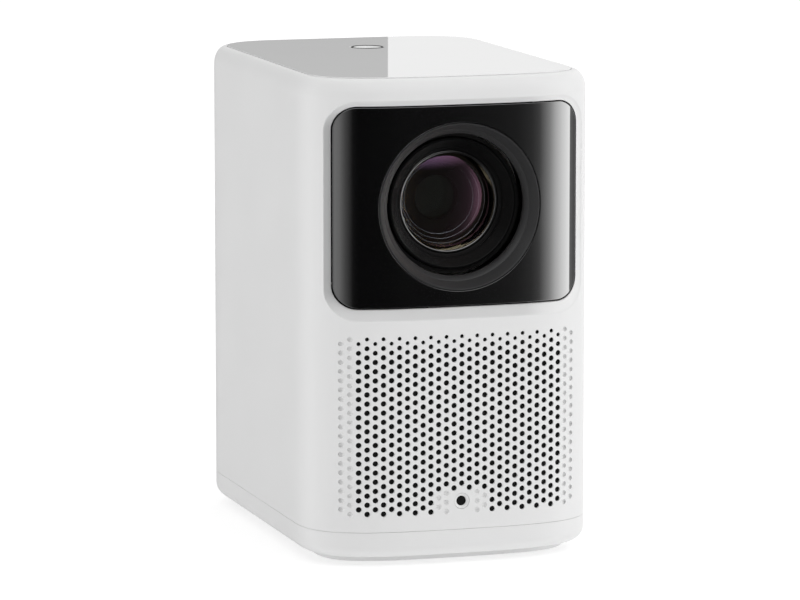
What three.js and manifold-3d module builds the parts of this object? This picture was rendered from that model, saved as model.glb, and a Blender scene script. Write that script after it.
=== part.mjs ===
// Upright home projector: a white moulded casing around a single-panel light engine.
// Millimetres. +Z is up, the lens looks along -Y, and the origin is the middle of the footprint.
import * as THREE from 'three';
import { mergeVertices } from 'three/addons/utils/BufferGeometryUtils.js';
import Module from 'manifold-3d';

const wasm = await Module();
wasm.setup();

// ---------------------------------------------------------------- driving dimensions
const GAP = 0.3;                    // clearance between neighbouring pieces
const HALF_WIDTH = 64.9;
const HALF_DEPTH = 96;
const HEIGHT = 211.2;
const WALL = 2.4;                   // moulded wall thickness
const FRONT_CORNER = { reachX: 54, reachY: 38, power: 3.4 };
const BACK_CORNER = { reachX: 34, reachY: 34, power: 2.3 };
const FRONT_BULGE = 3.6;            // how far the front falls back from its middle to its sides
const SEAM_Z = 15.3;                // split between body shell and base tray
const BASE_BOTTOM_Z = 3.8;
const FOOT_PLATE_Z = 1.2;
const TOP_ROUND = { size: 5.5, height: 8 };
const TOP_PLATE = { side: 5.9, front: 7.3, back: 7.6, thickness: 2.5 };
const LEDGE = { width: 5, thickness: 3.6 };
const BUTTON = { y: 43.6, radius: 6.6, ringInner: 6.8, ringOuter: 7.4, holeRadius: 7.6, travel: 0.8 };

const WINDOW = { halfWidth: 55, bottom: 112.3, top: 199.1, radius: 10.5, recess: 1.2, thickness: 1.6 };
const WINDOW_BEVEL = { side: 2.7, top: 2.5, bottom: 5.2 };
const SENSOR_Z = 27.7;

const LENS_Z = 155.2;               // height of the optical axis
const LENS_OPENING = 36.3;          // radius of the window's round opening
const TUBE = { radius: 28.5, front: -82.5, back: -46 };
const HOUSING = { inner: 28.9, outer: 30.6, front: -80, back: -42, flange: 38 };
const GEAR = { module: 1.5, ringTeeth: 48, sectorTeeth: 11, pinionTeeth: 10, front: -68, back: -62 };
const MOTOR = { angle: 225, radius: 7.5, front: -60.5, back: -45.4, shaft: 1.2 };

const ENGINE = { halfWidth: 50, halfHeight: 38, front: -41.5, back: 44, wall: 2.5 };
const FAN = { half: 42, front: 73, back: 89, bore: 39, hub: 14, blades: 7, tip: 37.5 };
const HEATSINK = { base: 5, finDepth: 20, fins: 12, fin: 1.6 };

const SPEAKER = { x: 23, z: 62, frame: 22, hole: 20.6, cone: 16.5, coil: 7.1, magnet: 13 };
const SPEAKER_BOX = { halfWidth: 58, bottom: 22, top: 101, front: -84, back: -30, wall: 2.5 };

const REAR = { halfWidth: 50, bottom: 24.3, top: 195.7, radius: 10 };
const VENT = { columns: [-22, 22], width: 38, height: 3.2, pitch: 7.6 };
const BAY = { halfWidth: 45, bottom: 28, top: 54, floorY: 90.5, wall: 2.2 };
const PORTS = {
  hdmi: { x: 34, z: 36, width: 14.6, height: 5.4 },
  usb: { x: 14, z: 36, width: 12.8, height: 5.4 },
  audio: { x: -2, z: 36 },
  inlet: { x: -28, z: 41, width: 14.8, height: 8.6 },
};
const BOARD = { front: -22, back: 78, thickness: 1.6, mainZ: 30, powerZ: 20 };

// ---------------------------------------------------------------- solids
const radians = THREE.MathUtils.degToRad;

// Merges shared corners, drops collapsed triangles and turns the faces outwards.
function tidy(geometry) {
  const bare = geometry.clone();
  bare.deleteAttribute('normal');
  bare.deleteAttribute('uv');
  const merged = mergeVertices(bare);
  const corners = merged.index.array;
  const kept = [];
  for (let i = 0; i < corners.length; i += 3) {
    const [a, b, c] = [corners[i], corners[i + 1], corners[i + 2]];
    if (a !== b && b !== c && c !== a) kept.push(a, b, c);
  }
  const at = (index) => new THREE.Vector3().fromBufferAttribute(merged.attributes.position, index);
  let volume = 0;
  for (let i = 0; i < kept.length; i += 3) {
    volume += at(kept[i]).dot(at(kept[i + 1]).cross(at(kept[i + 2])));
  }
  if (volume < 0) kept.reverse();
  merged.setIndex(kept);
  return merged;
}

function toManifold(geometry) {
  const clean = tidy(geometry);
  return new wasm.Manifold(new wasm.Mesh({
    numProp: 3,
    vertProperties: new Float32Array(clean.attributes.position.array),
    triVerts: new Uint32Array(clean.index.array),
  }));
}

function toGeometry(manifold) {
  const { vertProperties, triVerts } = manifold.getMesh();
  const geometry = new THREE.BufferGeometry();
  geometry.setAttribute('position', new THREE.BufferAttribute(vertProperties, 3));
  geometry.setIndex(new THREE.BufferAttribute(triVerts, 1));
  return geometry;
}

const combine = (how) => (first, ...others) =>
  toGeometry(others.reduce((solid, other) => solid[how](toManifold(other)), toManifold(first)));
const join = combine('add');
const cut = combine('subtract');
const common = combine('intersect');

// Box from its lowest to its highest corner.
function block([x0, y0, z0], [x1, y1, z1]) {
  return new THREE.BoxGeometry(x1 - x0, y1 - y0, z1 - z0)
    .translate((x0 + x1) / 2, (y0 + y1) / 2, (z0 + z1) / 2);
}

// Round bar along Z, or along Y.
function barZ(radius, z0, z1, x = 0, y = 0, segments = 16) {
  return new THREE.CylinderGeometry(radius, radius, z1 - z0, segments)
    .rotateX(Math.PI / 2).translate(x, y, (z0 + z1) / 2);
}

function barY(radius, y0, y1, x = 0, z = 0, segments = 20) {
  return new THREE.CylinderGeometry(radius, radius, y1 - y0, segments)
    .translate(x, (y0 + y1) / 2, z);
}

// Turned piece about an axis along Y; each profile point is [radius, y].
function turned(profile, x = 0, z = LENS_Z, segments = 32) {
  const onAxis = profile[0][0] === 0 && profile.at(-1)[0] === 0;
  const closed = onAxis ? profile : [...profile, profile[0]];
  const points = closed.map(([radius, y]) => new THREE.Vector2(radius, y));
  return new THREE.LatheGeometry(points, segments).translate(x, 0, z);
}

// Outline in X and Y pulled up along Z, or outline in X and Z pulled along Y.
function prismZ(outline, z0, z1) {
  return new THREE.ExtrudeGeometry(new THREE.Shape(outline), { depth: z1 - z0, bevelEnabled: false })
    .translate(0, 0, z0);
}

function prismY(outline, y0, y1, holes = []) {
  const shape = new THREE.Shape(outline);
  shape.holes = holes.map((hole) => new THREE.Path(hole));
  return new THREE.ExtrudeGeometry(shape, { depth: y1 - y0, bevelEnabled: false })
    .rotateX(Math.PI / 2).translate(0, y1, 0);
}

// Outline pulled up along Z with both rims rounded by the given reach and height.
function softPrism(outline, z0, z1, reach, height, steps = 3) {
  return new THREE.ExtrudeGeometry(new THREE.Shape(outline), {
    depth: z1 - z0 - 2 * height,
    bevelSize: reach,
    bevelOffset: -reach,
    bevelThickness: height,
    bevelSegments: steps,
  }).translate(0, 0, z0 + height);
}

function circle(radius, x = 0, y = 0, steps = 32) {
  return Array.from({ length: steps }, (_, i) => {
    const angle = (2 * Math.PI * i) / steps;
    return new THREE.Vector2(x + radius * Math.cos(angle), y + radius * Math.sin(angle));
  });
}

function roundedRectangle(x0, y0, x1, y1, radius, steps = 4) {
  const corners = [[x1 - radius, y1 - radius], [x0 + radius, y1 - radius],
    [x0 + radius, y0 + radius], [x1 - radius, y0 + radius]];
  return corners.flatMap(([x, y], corner) => Array.from({ length: steps + 1 }, (_, i) => {
    const angle = (corner + i / steps) * Math.PI / 2;
    return new THREE.Vector2(x + radius * Math.cos(angle), y + radius * Math.sin(angle));
  }));
}

// Plan of the casing, drawn in by the given distances: a softly bulged front between
// two long corners, straight sides, and a flat back between two tighter corners.
function planOutline(side = 0, front = side, back = side, steps = 6) {
  const points = [];
  for (let corner = 0; corner < 4; corner += 1) {
    const atBack = corner < 2;
    const [signX, signY] = [corner % 3 === 0 ? 1 : -1, atBack ? 1 : -1];
    const { reachX, reachY, power } = atBack ? BACK_CORNER : FRONT_CORNER;
    const inset = atBack ? back : front;
    for (let i = 0; i <= steps; i += 1) {
      const angle = (corner + i / steps) * Math.PI / 2;
      const [c, s] = [Math.abs(Math.cos(angle)), Math.abs(Math.sin(angle))];
      const x = signX * (HALF_WIDTH - reachX + (reachX - side) * c ** (2 / power));
      const y = signY * (HALF_DEPTH - reachY + (reachY - inset) * s ** (2 / power));
      const bulge = atBack ? 0 : FRONT_BULGE * (x / HALF_WIDTH) ** 2;
      points.push(new THREE.Vector2(x, y + bulge));
    }
    if (corner === 2) points.push(new THREE.Vector2(0, front - HALF_DEPTH));
  }
  return points;
}

// ---------------------------------------------------------------- casing
const windowOutline = (spread = 0) => roundedRectangle(
  -WINDOW.halfWidth - spread, WINDOW.bottom - spread,
  WINDOW.halfWidth + spread, WINDOW.top + spread, WINDOW.radius + spread);

const rearOutline = (spread = 0) => roundedRectangle(
  -REAR.halfWidth - spread, REAR.bottom - spread,
  REAR.halfWidth + spread, REAR.top + spread, REAR.radius + spread);

function bodyShell() {
  const bottom = SEAM_Z + GAP / 2;
  const top = HEIGHT - GAP;
  const plateSeat = HEIGHT - TOP_PLATE.thickness - GAP;
  const ledgeBottom = plateSeat - LEDGE.thickness;
  const outer = softPrism(planOutline(), bottom - 2 * TOP_ROUND.height, top, TOP_ROUND.size, TOP_ROUND.height);
  const room = 100;
  const below = block([-room, -room, -room], [room, room, bottom]);
  const cavity = prismZ(planOutline(WALL), 0, ledgeBottom);
  const plateHole = prismZ(
    planOutline(TOP_PLATE.side - GAP, TOP_PLATE.front - GAP, TOP_PLATE.back - GAP), plateSeat, HEIGHT);
  const ledgeHole = prismZ(
    planOutline(TOP_PLATE.side + LEDGE.width, TOP_PLATE.front + LEDGE.width, TOP_PLATE.back + LEDGE.width),
    ledgeBottom - 1, HEIGHT);
  const bevelOutline = roundedRectangle(
    -WINDOW.halfWidth - WINDOW_BEVEL.side, WINDOW.bottom - WINDOW_BEVEL.bottom,
    WINDOW.halfWidth + WINDOW_BEVEL.side, WINDOW.top + WINDOW_BEVEL.top,
    WINDOW.radius + WINDOW_BEVEL.side);
  const recess = cut(
    prismY(bevelOutline, -HALF_DEPTH - 1, -HALF_DEPTH / 2),
    prismZ(planOutline(WINDOW.recess + GAP), 0, HEIGHT));
  const windowHole = prismY(windowOutline(GAP), -HALF_DEPTH - 1, -HALF_DEPTH / 2);
  const sensorHole = barY(3.7, -HALF_DEPTH - 1, -HALF_DEPTH + 5, 0, SENSOR_Z);
  const rearHole = prismY(rearOutline(GAP), HALF_DEPTH / 2, HALF_DEPTH + 1);
  return cut(outer, below, cavity, plateHole, ledgeHole, recess, windowHole, sensorHole, rearHole);
}

function topPlate() {
  const plan = planOutline(TOP_PLATE.side, TOP_PLATE.front, TOP_PLATE.back);
  const plate = softPrism(plan, HEIGHT - TOP_PLATE.thickness, HEIGHT, 0.3, 0.3, 1);
  return cut(plate, barZ(BUTTON.holeRadius, 0, HEIGHT + 1, 0, BUTTON.y, 24));
}

const footPlaces = [[-42, -66], [42, -66], [-42, 72], [42, 72]];
const screwPlaces = [[-50, -38], [50, -38], [-50, 48], [50, 48]];

function baseTray() {
  const top = SEAM_Z - GAP / 2;
  const round = 6;
  const floorTop = BASE_BOTTOM_Z + 3;
  const outer = softPrism(planOutline(), BASE_BOTTOM_Z, top + 2 * round, round, round);
  const above = block([-100, -100, top], [100, 100, 100]);
  const wide = prismZ(planOutline(WALL), BASE_BOTTOM_Z + round, top + 1);
  const narrow = prismZ(planOutline(WALL + round), floorTop, top + 1);
  const screwHoles = screwPlaces.map(([x, y]) => barZ(1.6, 0, floorTop + 1, x, y, 12));
  return cut(outer, above, wide, narrow, ...screwHoles, barZ(6.4, 0, 20));
}

function footPlate() {
  const plate = prismZ(planOutline(9), FOOT_PLATE_Z, BASE_BOTTOM_Z - GAP);
  const footWells = footPlaces.map(([x, y]) => barZ(6.8, 0, 2.6, x, y));
  const screwWells = screwPlaces.map(([x, y]) => barZ(3.4, 0, 10, x, y, 12));
  return cut(plate, ...footWells, ...screwWells, barZ(6.4, 0, 20));
}

const rubberFoot = ([x, y]) => barZ(6.5, 0, 2.3, x, y);
const baseScrew = ([x, y]) => join(barZ(3, 1.7, 3.4, x, y, 12), barZ(1.3, 3, 14, x, y, 8));
const tripodInsert = () => cut(barZ(6.1, FOOT_PLATE_Z + GAP, 14, 0, 0, 6), barZ(3.1, 0, 20, 0, 0, 20));

function rearCover() {
  const skin = cut(prismZ(planOutline(), 0, HEIGHT), prismZ(planOutline(WALL), -1, HEIGHT + 1));
  const coverPrism = prismY(rearOutline(), HALF_DEPTH / 2, HALF_DEPTH + 1);
  const { wall } = BAY;
  const bayBlock = block([-BAY.halfWidth - wall, BAY.floorY - wall, BAY.bottom - wall],
    [BAY.halfWidth + wall, HALF_DEPTH + 1, BAY.top + wall]);
  const bayBody = common(bayBlock, prismZ(planOutline(), 0, HEIGHT));
  const pocket = prismY(
    roundedRectangle(-BAY.halfWidth, BAY.bottom, BAY.halfWidth, BAY.top, 3, 3), BAY.floorY, HALF_DEPTH + 2);
  const slots = [];
  const addSlots = (z0, rows) => VENT.columns.forEach((x) => {
    for (let row = 0; row < rows; row += 1) {
      const z = z0 + row * VENT.pitch;
      slots.push(block([x - VENT.width / 2, 80, z - VENT.height / 2],
        [x + VENT.width / 2, HALF_DEPTH + 1, z + VENT.height / 2]));
    }
  });
  addSlots(68, 4);
  addSlots(113, 10);
  const { hdmi, usb, audio, inlet } = PORTS;
  const portHoles = [hdmi, usb].map(({ x, z, width, height }) =>
    block([x - width / 2 - 1, 80, z - height / 2 - 1], [x + width / 2 + 1, HALF_DEPTH, z + height / 2 + 1]));
  portHoles.push(barY(3.3, 80, HALF_DEPTH, audio.x, audio.z, 20));
  portHoles.push(block([inlet.x - 10.5, 80, inlet.z - 7.5], [inlet.x + 10.5, HALF_DEPTH, inlet.z + 7.5]));
  return cut(common(join(skin, bayBody), coverPrism), pocket, ...slots, ...portHoles);
}

// ---------------------------------------------------------------- window, lens and focus drive
function windowPanel() {
  const { recess, thickness } = WINDOW;
  const sheet = cut(
    prismZ(planOutline(recess), WINDOW.bottom - 1, WINDOW.top + 1),
    prismZ(planOutline(recess + thickness), WINDOW.bottom - 2, WINDOW.top + 2));
  return cut(
    common(sheet, prismY(windowOutline(), -HALF_DEPTH, -HALF_DEPTH / 2)),
    barY(LENS_OPENING, -HALF_DEPTH - 1, -HALF_DEPTH / 2, 0, LENS_Z, 40));
}

function lensBezel() {
  const outer = LENS_OPENING - GAP;
  const front = -HALF_DEPTH;
  const cone = turned([[outer - 0.5, front], [30.8, -86.5], [30.8, -84.8], [outer, -84.8], [outer, front]], 0,
    LENS_Z, 32);
  const flange = turned([[outer - 1, front], [outer - 1, -84.8], [39.5, -84.8], [39.5, front]], 0, LENS_Z, 32);
  const behindPanel = WINDOW.recess + WINDOW.thickness + GAP;
  return join(
    common(cone, prismZ(planOutline(WINDOW.recess + GAP), 0, HEIGHT)),
    common(flange, prismZ(planOutline(behindPanel), 0, HEIGHT)));
}

function lensHousing() {
  const { inner, outer, front, back, flange } = HOUSING;
  return turned([[inner, front], [inner, back], [flange, back], [flange, back - 3], [outer + 2, back - 3],
    [outer + 2, GEAR.back + GAP], [outer, GEAR.back + GAP], [outer, front]]);
}

function focusTube() {
  const { radius, front, back } = TUBE;
  return turned([[radius, front], [radius - 0.8, front], [23.4, -77], [22.4, -77], [22.4, -66.4],
    [19, -66.4], [14, -60.3], [14, -58.3], [17.6, -58.3], [17.6, back], [radius, back]]);
}

// Points of a lens surface from the axis to its rim; bow is how far the middle stands before the rim.
function lensSurface(rim, rimY, bow, steps = 3) {
  const sphere = (rim ** 2 + bow ** 2) / (2 * Math.abs(bow));
  return Array.from({ length: steps + 1 }, (_, i) => {
    const r = (rim * i) / steps;
    const sag = sphere - Math.sqrt(sphere ** 2 - r ** 2);
    return [r, rimY - Math.sign(bow) * (Math.abs(bow) - sag)];
  });
}

function lensElement(rim, frontY, frontBow, backY, backBow) {
  return turned([...lensSurface(rim, frontY, frontBow), ...lensSurface(rim, backY, backBow).reverse()],
    0, LENS_Z, 24);
}

// Straight-sided gear outline around a centre. The cut teeth are centred on the given angle;
// where they end, the rim stays at the root circle with one point in place of each tooth.
function gearOutline(teeth, cutTeeth, centreX, centreZ, middleAngle) {
  const pitch = (GEAR.module * teeth) / 2;
  const step = (2 * Math.PI) / teeth;
  const root = -1.15;
  const toothProfile = [[-0.3, root], [-0.12, 0.8], [0.12, 0.8], [0.3, root]];
  const firstTooth = -(cutTeeth - 1) / 2;
  return Array.from({ length: teeth }, (_, i) => {
    const profile = i < cutTeeth ? toothProfile : [[0, root]];
    return profile.map(([turn, rise]) => {
      const angle = radians(middleAngle) + (firstTooth + i + turn) * step;
      const radius = pitch + rise * GEAR.module;
      return new THREE.Vector2(centreX + radius * Math.cos(angle), centreZ + radius * Math.sin(angle));
    });
  }).flat();
}

const gearDistance = (GEAR.module * (GEAR.ringTeeth + GEAR.pinionTeeth)) / 2;
const motorX = gearDistance * Math.cos(radians(MOTOR.angle));
const motorZ = LENS_Z + gearDistance * Math.sin(radians(MOTOR.angle));

function focusRing() {
  const outline = gearOutline(GEAR.ringTeeth, GEAR.sectorTeeth, 0, LENS_Z, MOTOR.angle);
  return prismY(outline, GEAR.front, GEAR.back, [circle(HOUSING.outer + 0.4, 0, LENS_Z)]);
}

function focusPinion() {
  // An even number of teeth centred on the ring's direction puts a tooth gap there.
  const outline = gearOutline(GEAR.pinionTeeth, GEAR.pinionTeeth, motorX, motorZ, MOTOR.angle - 180);
  const shaft = barY(MOTOR.shaft, GEAR.front, MOTOR.front + 6, motorX, motorZ, 12);
  return join(prismY(outline, GEAR.front, GEAR.back), shaft);
}

function focusMotor() {
  const { radius, front, back, shaft } = MOTOR;
  return cut(barY(radius, front, back, motorX, motorZ), barY(shaft + GAP, front - 1, front + 7, motorX, motorZ, 12));
}

// ---------------------------------------------------------------- light engine and cooling
function engineHousing() {
  const { halfWidth, halfHeight, front, back, wall } = ENGINE;
  const outer = block([-halfWidth, front, LENS_Z - halfHeight], [halfWidth, back, LENS_Z + halfHeight]);
  const inner = block([wall - halfWidth, front + wall, LENS_Z - halfHeight + wall],
    [halfWidth - wall, back + 1, LENS_Z + halfHeight - wall]);
  return cut(outer, inner, barY(20, front - 1, front + wall + 1, 0, LENS_Z, 32));
}

// Flat plate that fills the engine's tunnel between two depths.
function enginePlate(y0, y1) {
  const x = ENGINE.halfWidth - ENGINE.wall - GAP;
  const z = ENGINE.halfHeight - ENGINE.wall - GAP;
  return block([-x, y0, LENS_Z - z], [x, y1, LENS_Z + z]);
}

const condenserLens = () => turned([[0, 27], [26, 27], [26, 30], ...lensSurface(24, 30, -9).reverse()], 0, LENS_Z, 24);

const ledBoard = () => join(
  block([-30, 44.3, LENS_Z - 30], [30, 45.9, LENS_Z + 30]),
  block([-7, 43, LENS_Z - 4.5], [7, 44.5, LENS_Z + 4.5]));

function ledHeatsink() {
  const front = ENGINE.back + 1.9 + GAP;
  const base = block([-ENGINE.halfWidth, front, LENS_Z - ENGINE.halfHeight],
    [ENGINE.halfWidth, front + HEATSINK.base, LENS_Z + ENGINE.halfHeight]);
  const span = 2 * (ENGINE.halfWidth - HEATSINK.fin);
  const fins = Array.from({ length: HEATSINK.fins }, (_, i) => {
    const x = (i / (HEATSINK.fins - 1) - 0.5) * span;
    return block([x - HEATSINK.fin / 2, front + HEATSINK.base - 1, LENS_Z - ENGINE.halfHeight],
      [x + HEATSINK.fin / 2, front + HEATSINK.base + HEATSINK.finDepth, LENS_Z + ENGINE.halfHeight]);
  });
  return join(base, ...fins);
}

function fanFrame() {
  const { half, front, back, bore, hub } = FAN;
  const frame = prismY(roundedRectangle(-half, LENS_Z - half, half, LENS_Z + half, 5, 3), front, back,
    [circle(bore, 0, LENS_Z, 36)]);
  const spokes = [45, 165, 285].map((angle) =>
    block([hub - 2, back - 2.5, -1.5], [bore + 1, back, 1.5]).rotateY(radians(angle)).translate(0, 0, LENS_Z));
  return join(frame, barY(hub, back - 2.5, back, 0, LENS_Z), ...spokes);
}

function fanRotor() {
  const { front, back, hub, blades, tip } = FAN;
  const middle = (front + back - 2.5) / 2;
  const vanes = Array.from({ length: blades }, (_, i) =>
    block([hub - 3, -0.7, -7.5], [tip, 0.7, 7.5]).rotateX(radians(52))
      .rotateY((2 * Math.PI * i) / blades).translate(0, middle, LENS_Z));
  return join(barY(hub, front + 1, back - 3, 0, LENS_Z), ...vanes);
}

// ---------------------------------------------------------------- speakers
function speakerEnclosure() {
  const { halfWidth, bottom, top, front, back, wall } = SPEAKER_BOX;
  const outer = block([-halfWidth, front, bottom], [halfWidth, back, top]);
  const inner = block([wall - halfWidth, front + wall, bottom + wall], [halfWidth - wall, back - wall, top - wall]);
  const holes = [-1, 1].map((side) => barY(SPEAKER.hole, front - 1, front + wall + 1, side * SPEAKER.x, SPEAKER.z, 32));
  const corners = prismZ(planOutline(WALL + GAP), bottom - 1, top + 1);
  return common(cut(outer, inner, ...holes), corners);
}

function speakerFrame(side) {
  const { frame, hole, cone, x, z } = SPEAKER;
  return turned([[cone + 0.6, -87.5], [frame, -87.5], [frame, -84.3], [hole - 0.5, -84.3], [hole - 0.5, -80],
    [12.5, -69.8], [10.5, -69.8], [hole - 2.2, -81], [cone + 0.6, -85.5]], side * x, z, 24);
}

function speakerMagnet(side) {
  const { magnet, coil, x, z } = SPEAKER;
  return turned([[0, -69.5], [coil - 0.9, -69.5], [coil - 0.9, -62], [coil + 0.9, -62], [coil + 0.9, -69.5],
    [magnet, -69.5], [magnet, -58], [0, -58]], side * x, z, 20);
}

function speakerCone(side) {
  const { cone, coil, x, z } = SPEAKER;
  return turned([[0, -80], [coil, -77.5], [cone, -86.5], [cone, -85.5], [coil + 0.3, -76.2], [coil + 0.3, -66],
    [coil - 0.3, -66], [coil - 0.3, -76.2], [0, -78.8]], side * x, z, 20);
}

// ---------------------------------------------------------------- boards, ports, sensor and button
function mainBoard() {
  const { front, back, thickness, mainZ } = BOARD;
  const top = mainZ + thickness;
  const chips = [[12, 0, 10, 10, 2], [34, 4, 12, 9, 1.6], [34, 22, 12, 9, 1.6], [12, 50, 7, 7, 1.4], [40, 52, 9, 14, 2.4]];
  return join(
    block([4, front, mainZ], [52, back, top]),
    ...chips.map(([x, y, sizeX, sizeY, height]) =>
      block([x - sizeX / 2, y - sizeY / 2, top - 0.2], [x + sizeX / 2, y + sizeY / 2, top + height])));
}

function processorHeatsink() {
  const bottom = BOARD.mainZ + BOARD.thickness + 2 + GAP;
  const fins = Array.from({ length: 6 }, (_, i) =>
    block([3 + 3.2 * i, 16, bottom + 1], [4.2 + 3.2 * i, 38, bottom + 10]));
  return join(block([3, 16, bottom], [20.2, 38, bottom + 2]), ...fins);
}

function powerBoard() {
  const { front, back, thickness, powerZ } = BOARD;
  const top = powerZ + thickness;
  return join(
    block([-52, front, powerZ], [-4, back, top]),
    block([-50, 40, top - 0.2], [-36, 62, top + 9]),
    block([-20, 52, top - 0.2], [-8, 70, top + 7]),
    block([-14, -14, top - 0.2], [-11, 12, top + 16]));
}

function transformer() {
  const bottom = BOARD.powerZ + BOARD.thickness + GAP;
  return join(
    block([-46, 4, bottom], [-22, 30, bottom + 5]),
    block([-43, 7, bottom + 4], [-25, 27, bottom + 18]),
    block([-46, 10, bottom + 4], [-22, 24, bottom + 24]));
}

function bulkCapacitor() {
  const bottom = BOARD.powerZ + BOARD.thickness + GAP;
  return barZ(8, bottom, bottom + 26, -40, -11, 20);
}

function innerFrame() {
  const top = LENS_Z - ENGINE.halfHeight - GAP;
  const deck = block([-57, -26, top - 3], [57, 66, top]);
  const window = block([-38, -12, top - 5], [38, 44, top + 1]);
  const posts = [[-55.5, -22], [55.5, -22], [-55.5, 50], [55.5, 50]].map(([x, y]) =>
    block([x - 1.5, y - 4, BASE_BOTTOM_Z + 7], [x + 1.5, y + 4, top - 1]));
  return join(cut(deck, window), ...posts);
}

const dustFilter = () => block([-42, 84, 62], [42, 87, 100]);

// Socket body with a rectangular mouth towards the back and a contact tongue deep inside.
function socket({ x, z, width, height }, tongueLift) {
  const [front, back] = [76.5, BAY.floorY - 0.5];
  const body = block([x - width / 2 - 0.7, front, z - height / 2 - 0.7],
    [x + width / 2 + 0.7, back, z + height / 2 + 0.7]);
  const mouth = block([x - width / 2, front + 1.5, z - height / 2], [x + width / 2, back + 1, z + height / 2]);
  const tongue = block([x - width / 2 + 1.5, front + 1, z + tongueLift - 0.7],
    [x + width / 2 - 1.5, front + 6, z + tongueLift + 0.7]);
  return join(cut(body, mouth), tongue);
}

function audioJack() {
  const { x, z } = PORTS.audio;
  return cut(
    join(block([x - 4, 78.6, z - 4], [x + 4, 87.5, z + 4]), barY(2.9, 87, BAY.floorY - 0.3, x, z, 20)),
    barY(1.8, 80, 100, x, z, 20));
}

function powerInlet() {
  const { x, z, width, height } = PORTS.inlet;
  const mouth = roundedRectangle(x - width / 2, z - height / 2, x + width / 2, z + height / 2, height / 2 - 0.01, 5);
  const body = block([x - 10.2, 74, z - 7.2], [x + 10.2, BAY.floorY, z + 7.2]);
  const pins = [-4.3, 4.3].map((side) => barY(1.2, 76, 87, x + side, z, 10));
  return join(cut(body, prismY(mouth, 77, 100)), ...pins);
}

const sensorBezel = () => turned([[3.4, -95.6], [3.4, -93.2], [2.5, -93.2], [2.5, -94.8], [3, -95.6]], 0, SENSOR_Z, 16);
const cameraLens = () => turned([[0, -94.6], [1.4, -94.3], [2.2, -93.6], [2.2, -92.7], [0, -92.7]], 0, SENSOR_Z, 12);
const cameraModule = () => join(
  block([-4.5, -90.5, SENSOR_Z - 4.5], [4.5, -85.2, SENSOR_Z + 4.5]),
  barY(2, -92.4, -90, 0, SENSOR_Z, 16));

function powerButton() {
  const flangeTop = HEIGHT - TOP_PLATE.thickness - 0.5;
  return join(
    barZ(BUTTON.radius, flangeTop - 0.5, HEIGHT - 0.2, 0, BUTTON.y, 24),
    barZ(BUTTON.radius + 2.4, flangeTop - 1.6, flangeTop, 0, BUTTON.y, 16));
}

function buttonLightRing() {
  const bottom = HEIGHT - TOP_PLATE.thickness + 0.1;
  return cut(
    barZ(BUTTON.ringOuter, bottom, HEIGHT - 0.1, 0, BUTTON.y, 24),
    barZ(BUTTON.ringInner, bottom - 1, HEIGHT, 0, BUTTON.y, 24));
}

function buttonBoard() {
  const buttonBottom = HEIGHT - TOP_PLATE.thickness - 2.1;
  const switchTop = buttonBottom - BUTTON.travel - 0.2;
  return join(
    block([-16, BUTTON.y - 10, switchTop - 3.9], [16, BUTTON.y + 10, switchTop - 2.7]),
    block([-3, BUTTON.y - 3, switchTop - 2.8], [3, BUTTON.y + 3, switchTop - 0.8]),
    barZ(1.6, switchTop - 1, switchTop, 0, BUTTON.y, 12));
}

// ---------------------------------------------------------------- assembly
const FINISH = {
  whiteSatin: { color: 0xe9e9e7, roughness: 0.45, metalness: 0 },
  whiteGloss: { color: 0xececea, roughness: 0.08, metalness: 0 },
  blackGloss: { color: 0x08080a, roughness: 0.04, metalness: 0 },
  blackMatte: { color: 0x16161a, roughness: 0.6, metalness: 0 },
  darkRubber: { color: 0x2a2a2c, roughness: 0.9, metalness: 0 },
  coatedGlass: { color: 0x20182a, roughness: 0.02, metalness: 0 },
  clearGlass: { color: 0xbfd0d6, roughness: 0.05, metalness: 0 },
  aluminium: { color: 0xb9bcc0, roughness: 0.35, metalness: 1 },
  steel: { color: 0x9a9ca0, roughness: 0.3, metalness: 1 },
  brass: { color: 0xc39a4a, roughness: 0.35, metalness: 1 },
  acetal: { color: 0xdcdcd6, roughness: 0.5, metalness: 0 },
  circuitGreen: { color: 0x1d5a38, roughness: 0.55, metalness: 0 },
  circuitWhite: { color: 0xdedede, roughness: 0.5, metalness: 0 },
  paperCone: { color: 0x232326, roughness: 0.8, metalness: 0 },
  foam: { color: 0x303034, roughness: 1, metalness: 0 },
  windingTape: { color: 0xc9a53a, roughness: 0.5, metalness: 0 },
  canSleeve: { color: 0x23305a, roughness: 0.4, metalness: 0 },
};

const projector = new THREE.Group();

function add(name, finish, geometry) {
  const solid = tidy(geometry);
  solid.computeVertexNormals();
  const mesh = new THREE.Mesh(solid, new THREE.MeshStandardMaterial(FINISH[finish]));
  mesh.name = name;
  projector.add(mesh);
}

const eachSide = (make) => [['left', -1], ['right', 1]].forEach(([word, side]) => make(word, side));

add('body_shell', 'whiteSatin', bodyShell());
add('top_plate', 'whiteGloss', topPlate());
add('base_tray', 'whiteSatin', baseTray());
add('foot_plate', 'whiteSatin', footPlate());
footPlaces.forEach((place, i) => add(`rubber_foot_${i + 1}`, 'darkRubber', rubberFoot(place)));
screwPlaces.forEach((place, i) => add(`base_screw_${i + 1}`, 'steel', baseScrew(place)));
add('tripod_insert', 'brass', tripodInsert());
add('rear_cover', 'whiteSatin', rearCover());

add('window_panel', 'blackGloss', windowPanel());
add('lens_bezel', 'blackMatte', lensBezel());
add('lens_housing', 'blackMatte', lensHousing());
add('focus_tube', 'blackMatte', focusTube());
add('front_element', 'coatedGlass', lensElement(22.1, -72.5, 5.2, -66.7, 3));
add('aperture_ring', 'blackMatte', turned([[8.5, -58], [17.3, -58], [17.3, -57], [8.5, -57]], 0, LENS_Z, 24));
add('middle_element', 'coatedGlass', lensElement(17.3, -55, 1.6, -53, -1.5));
add('rear_element', 'coatedGlass', lensElement(17.3, -49, 1.2, -48, -1.5));
add('focus_ring', 'acetal', focusRing());
add('focus_pinion', 'brass', focusPinion());
add('focus_motor', 'steel', focusMotor());

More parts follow.
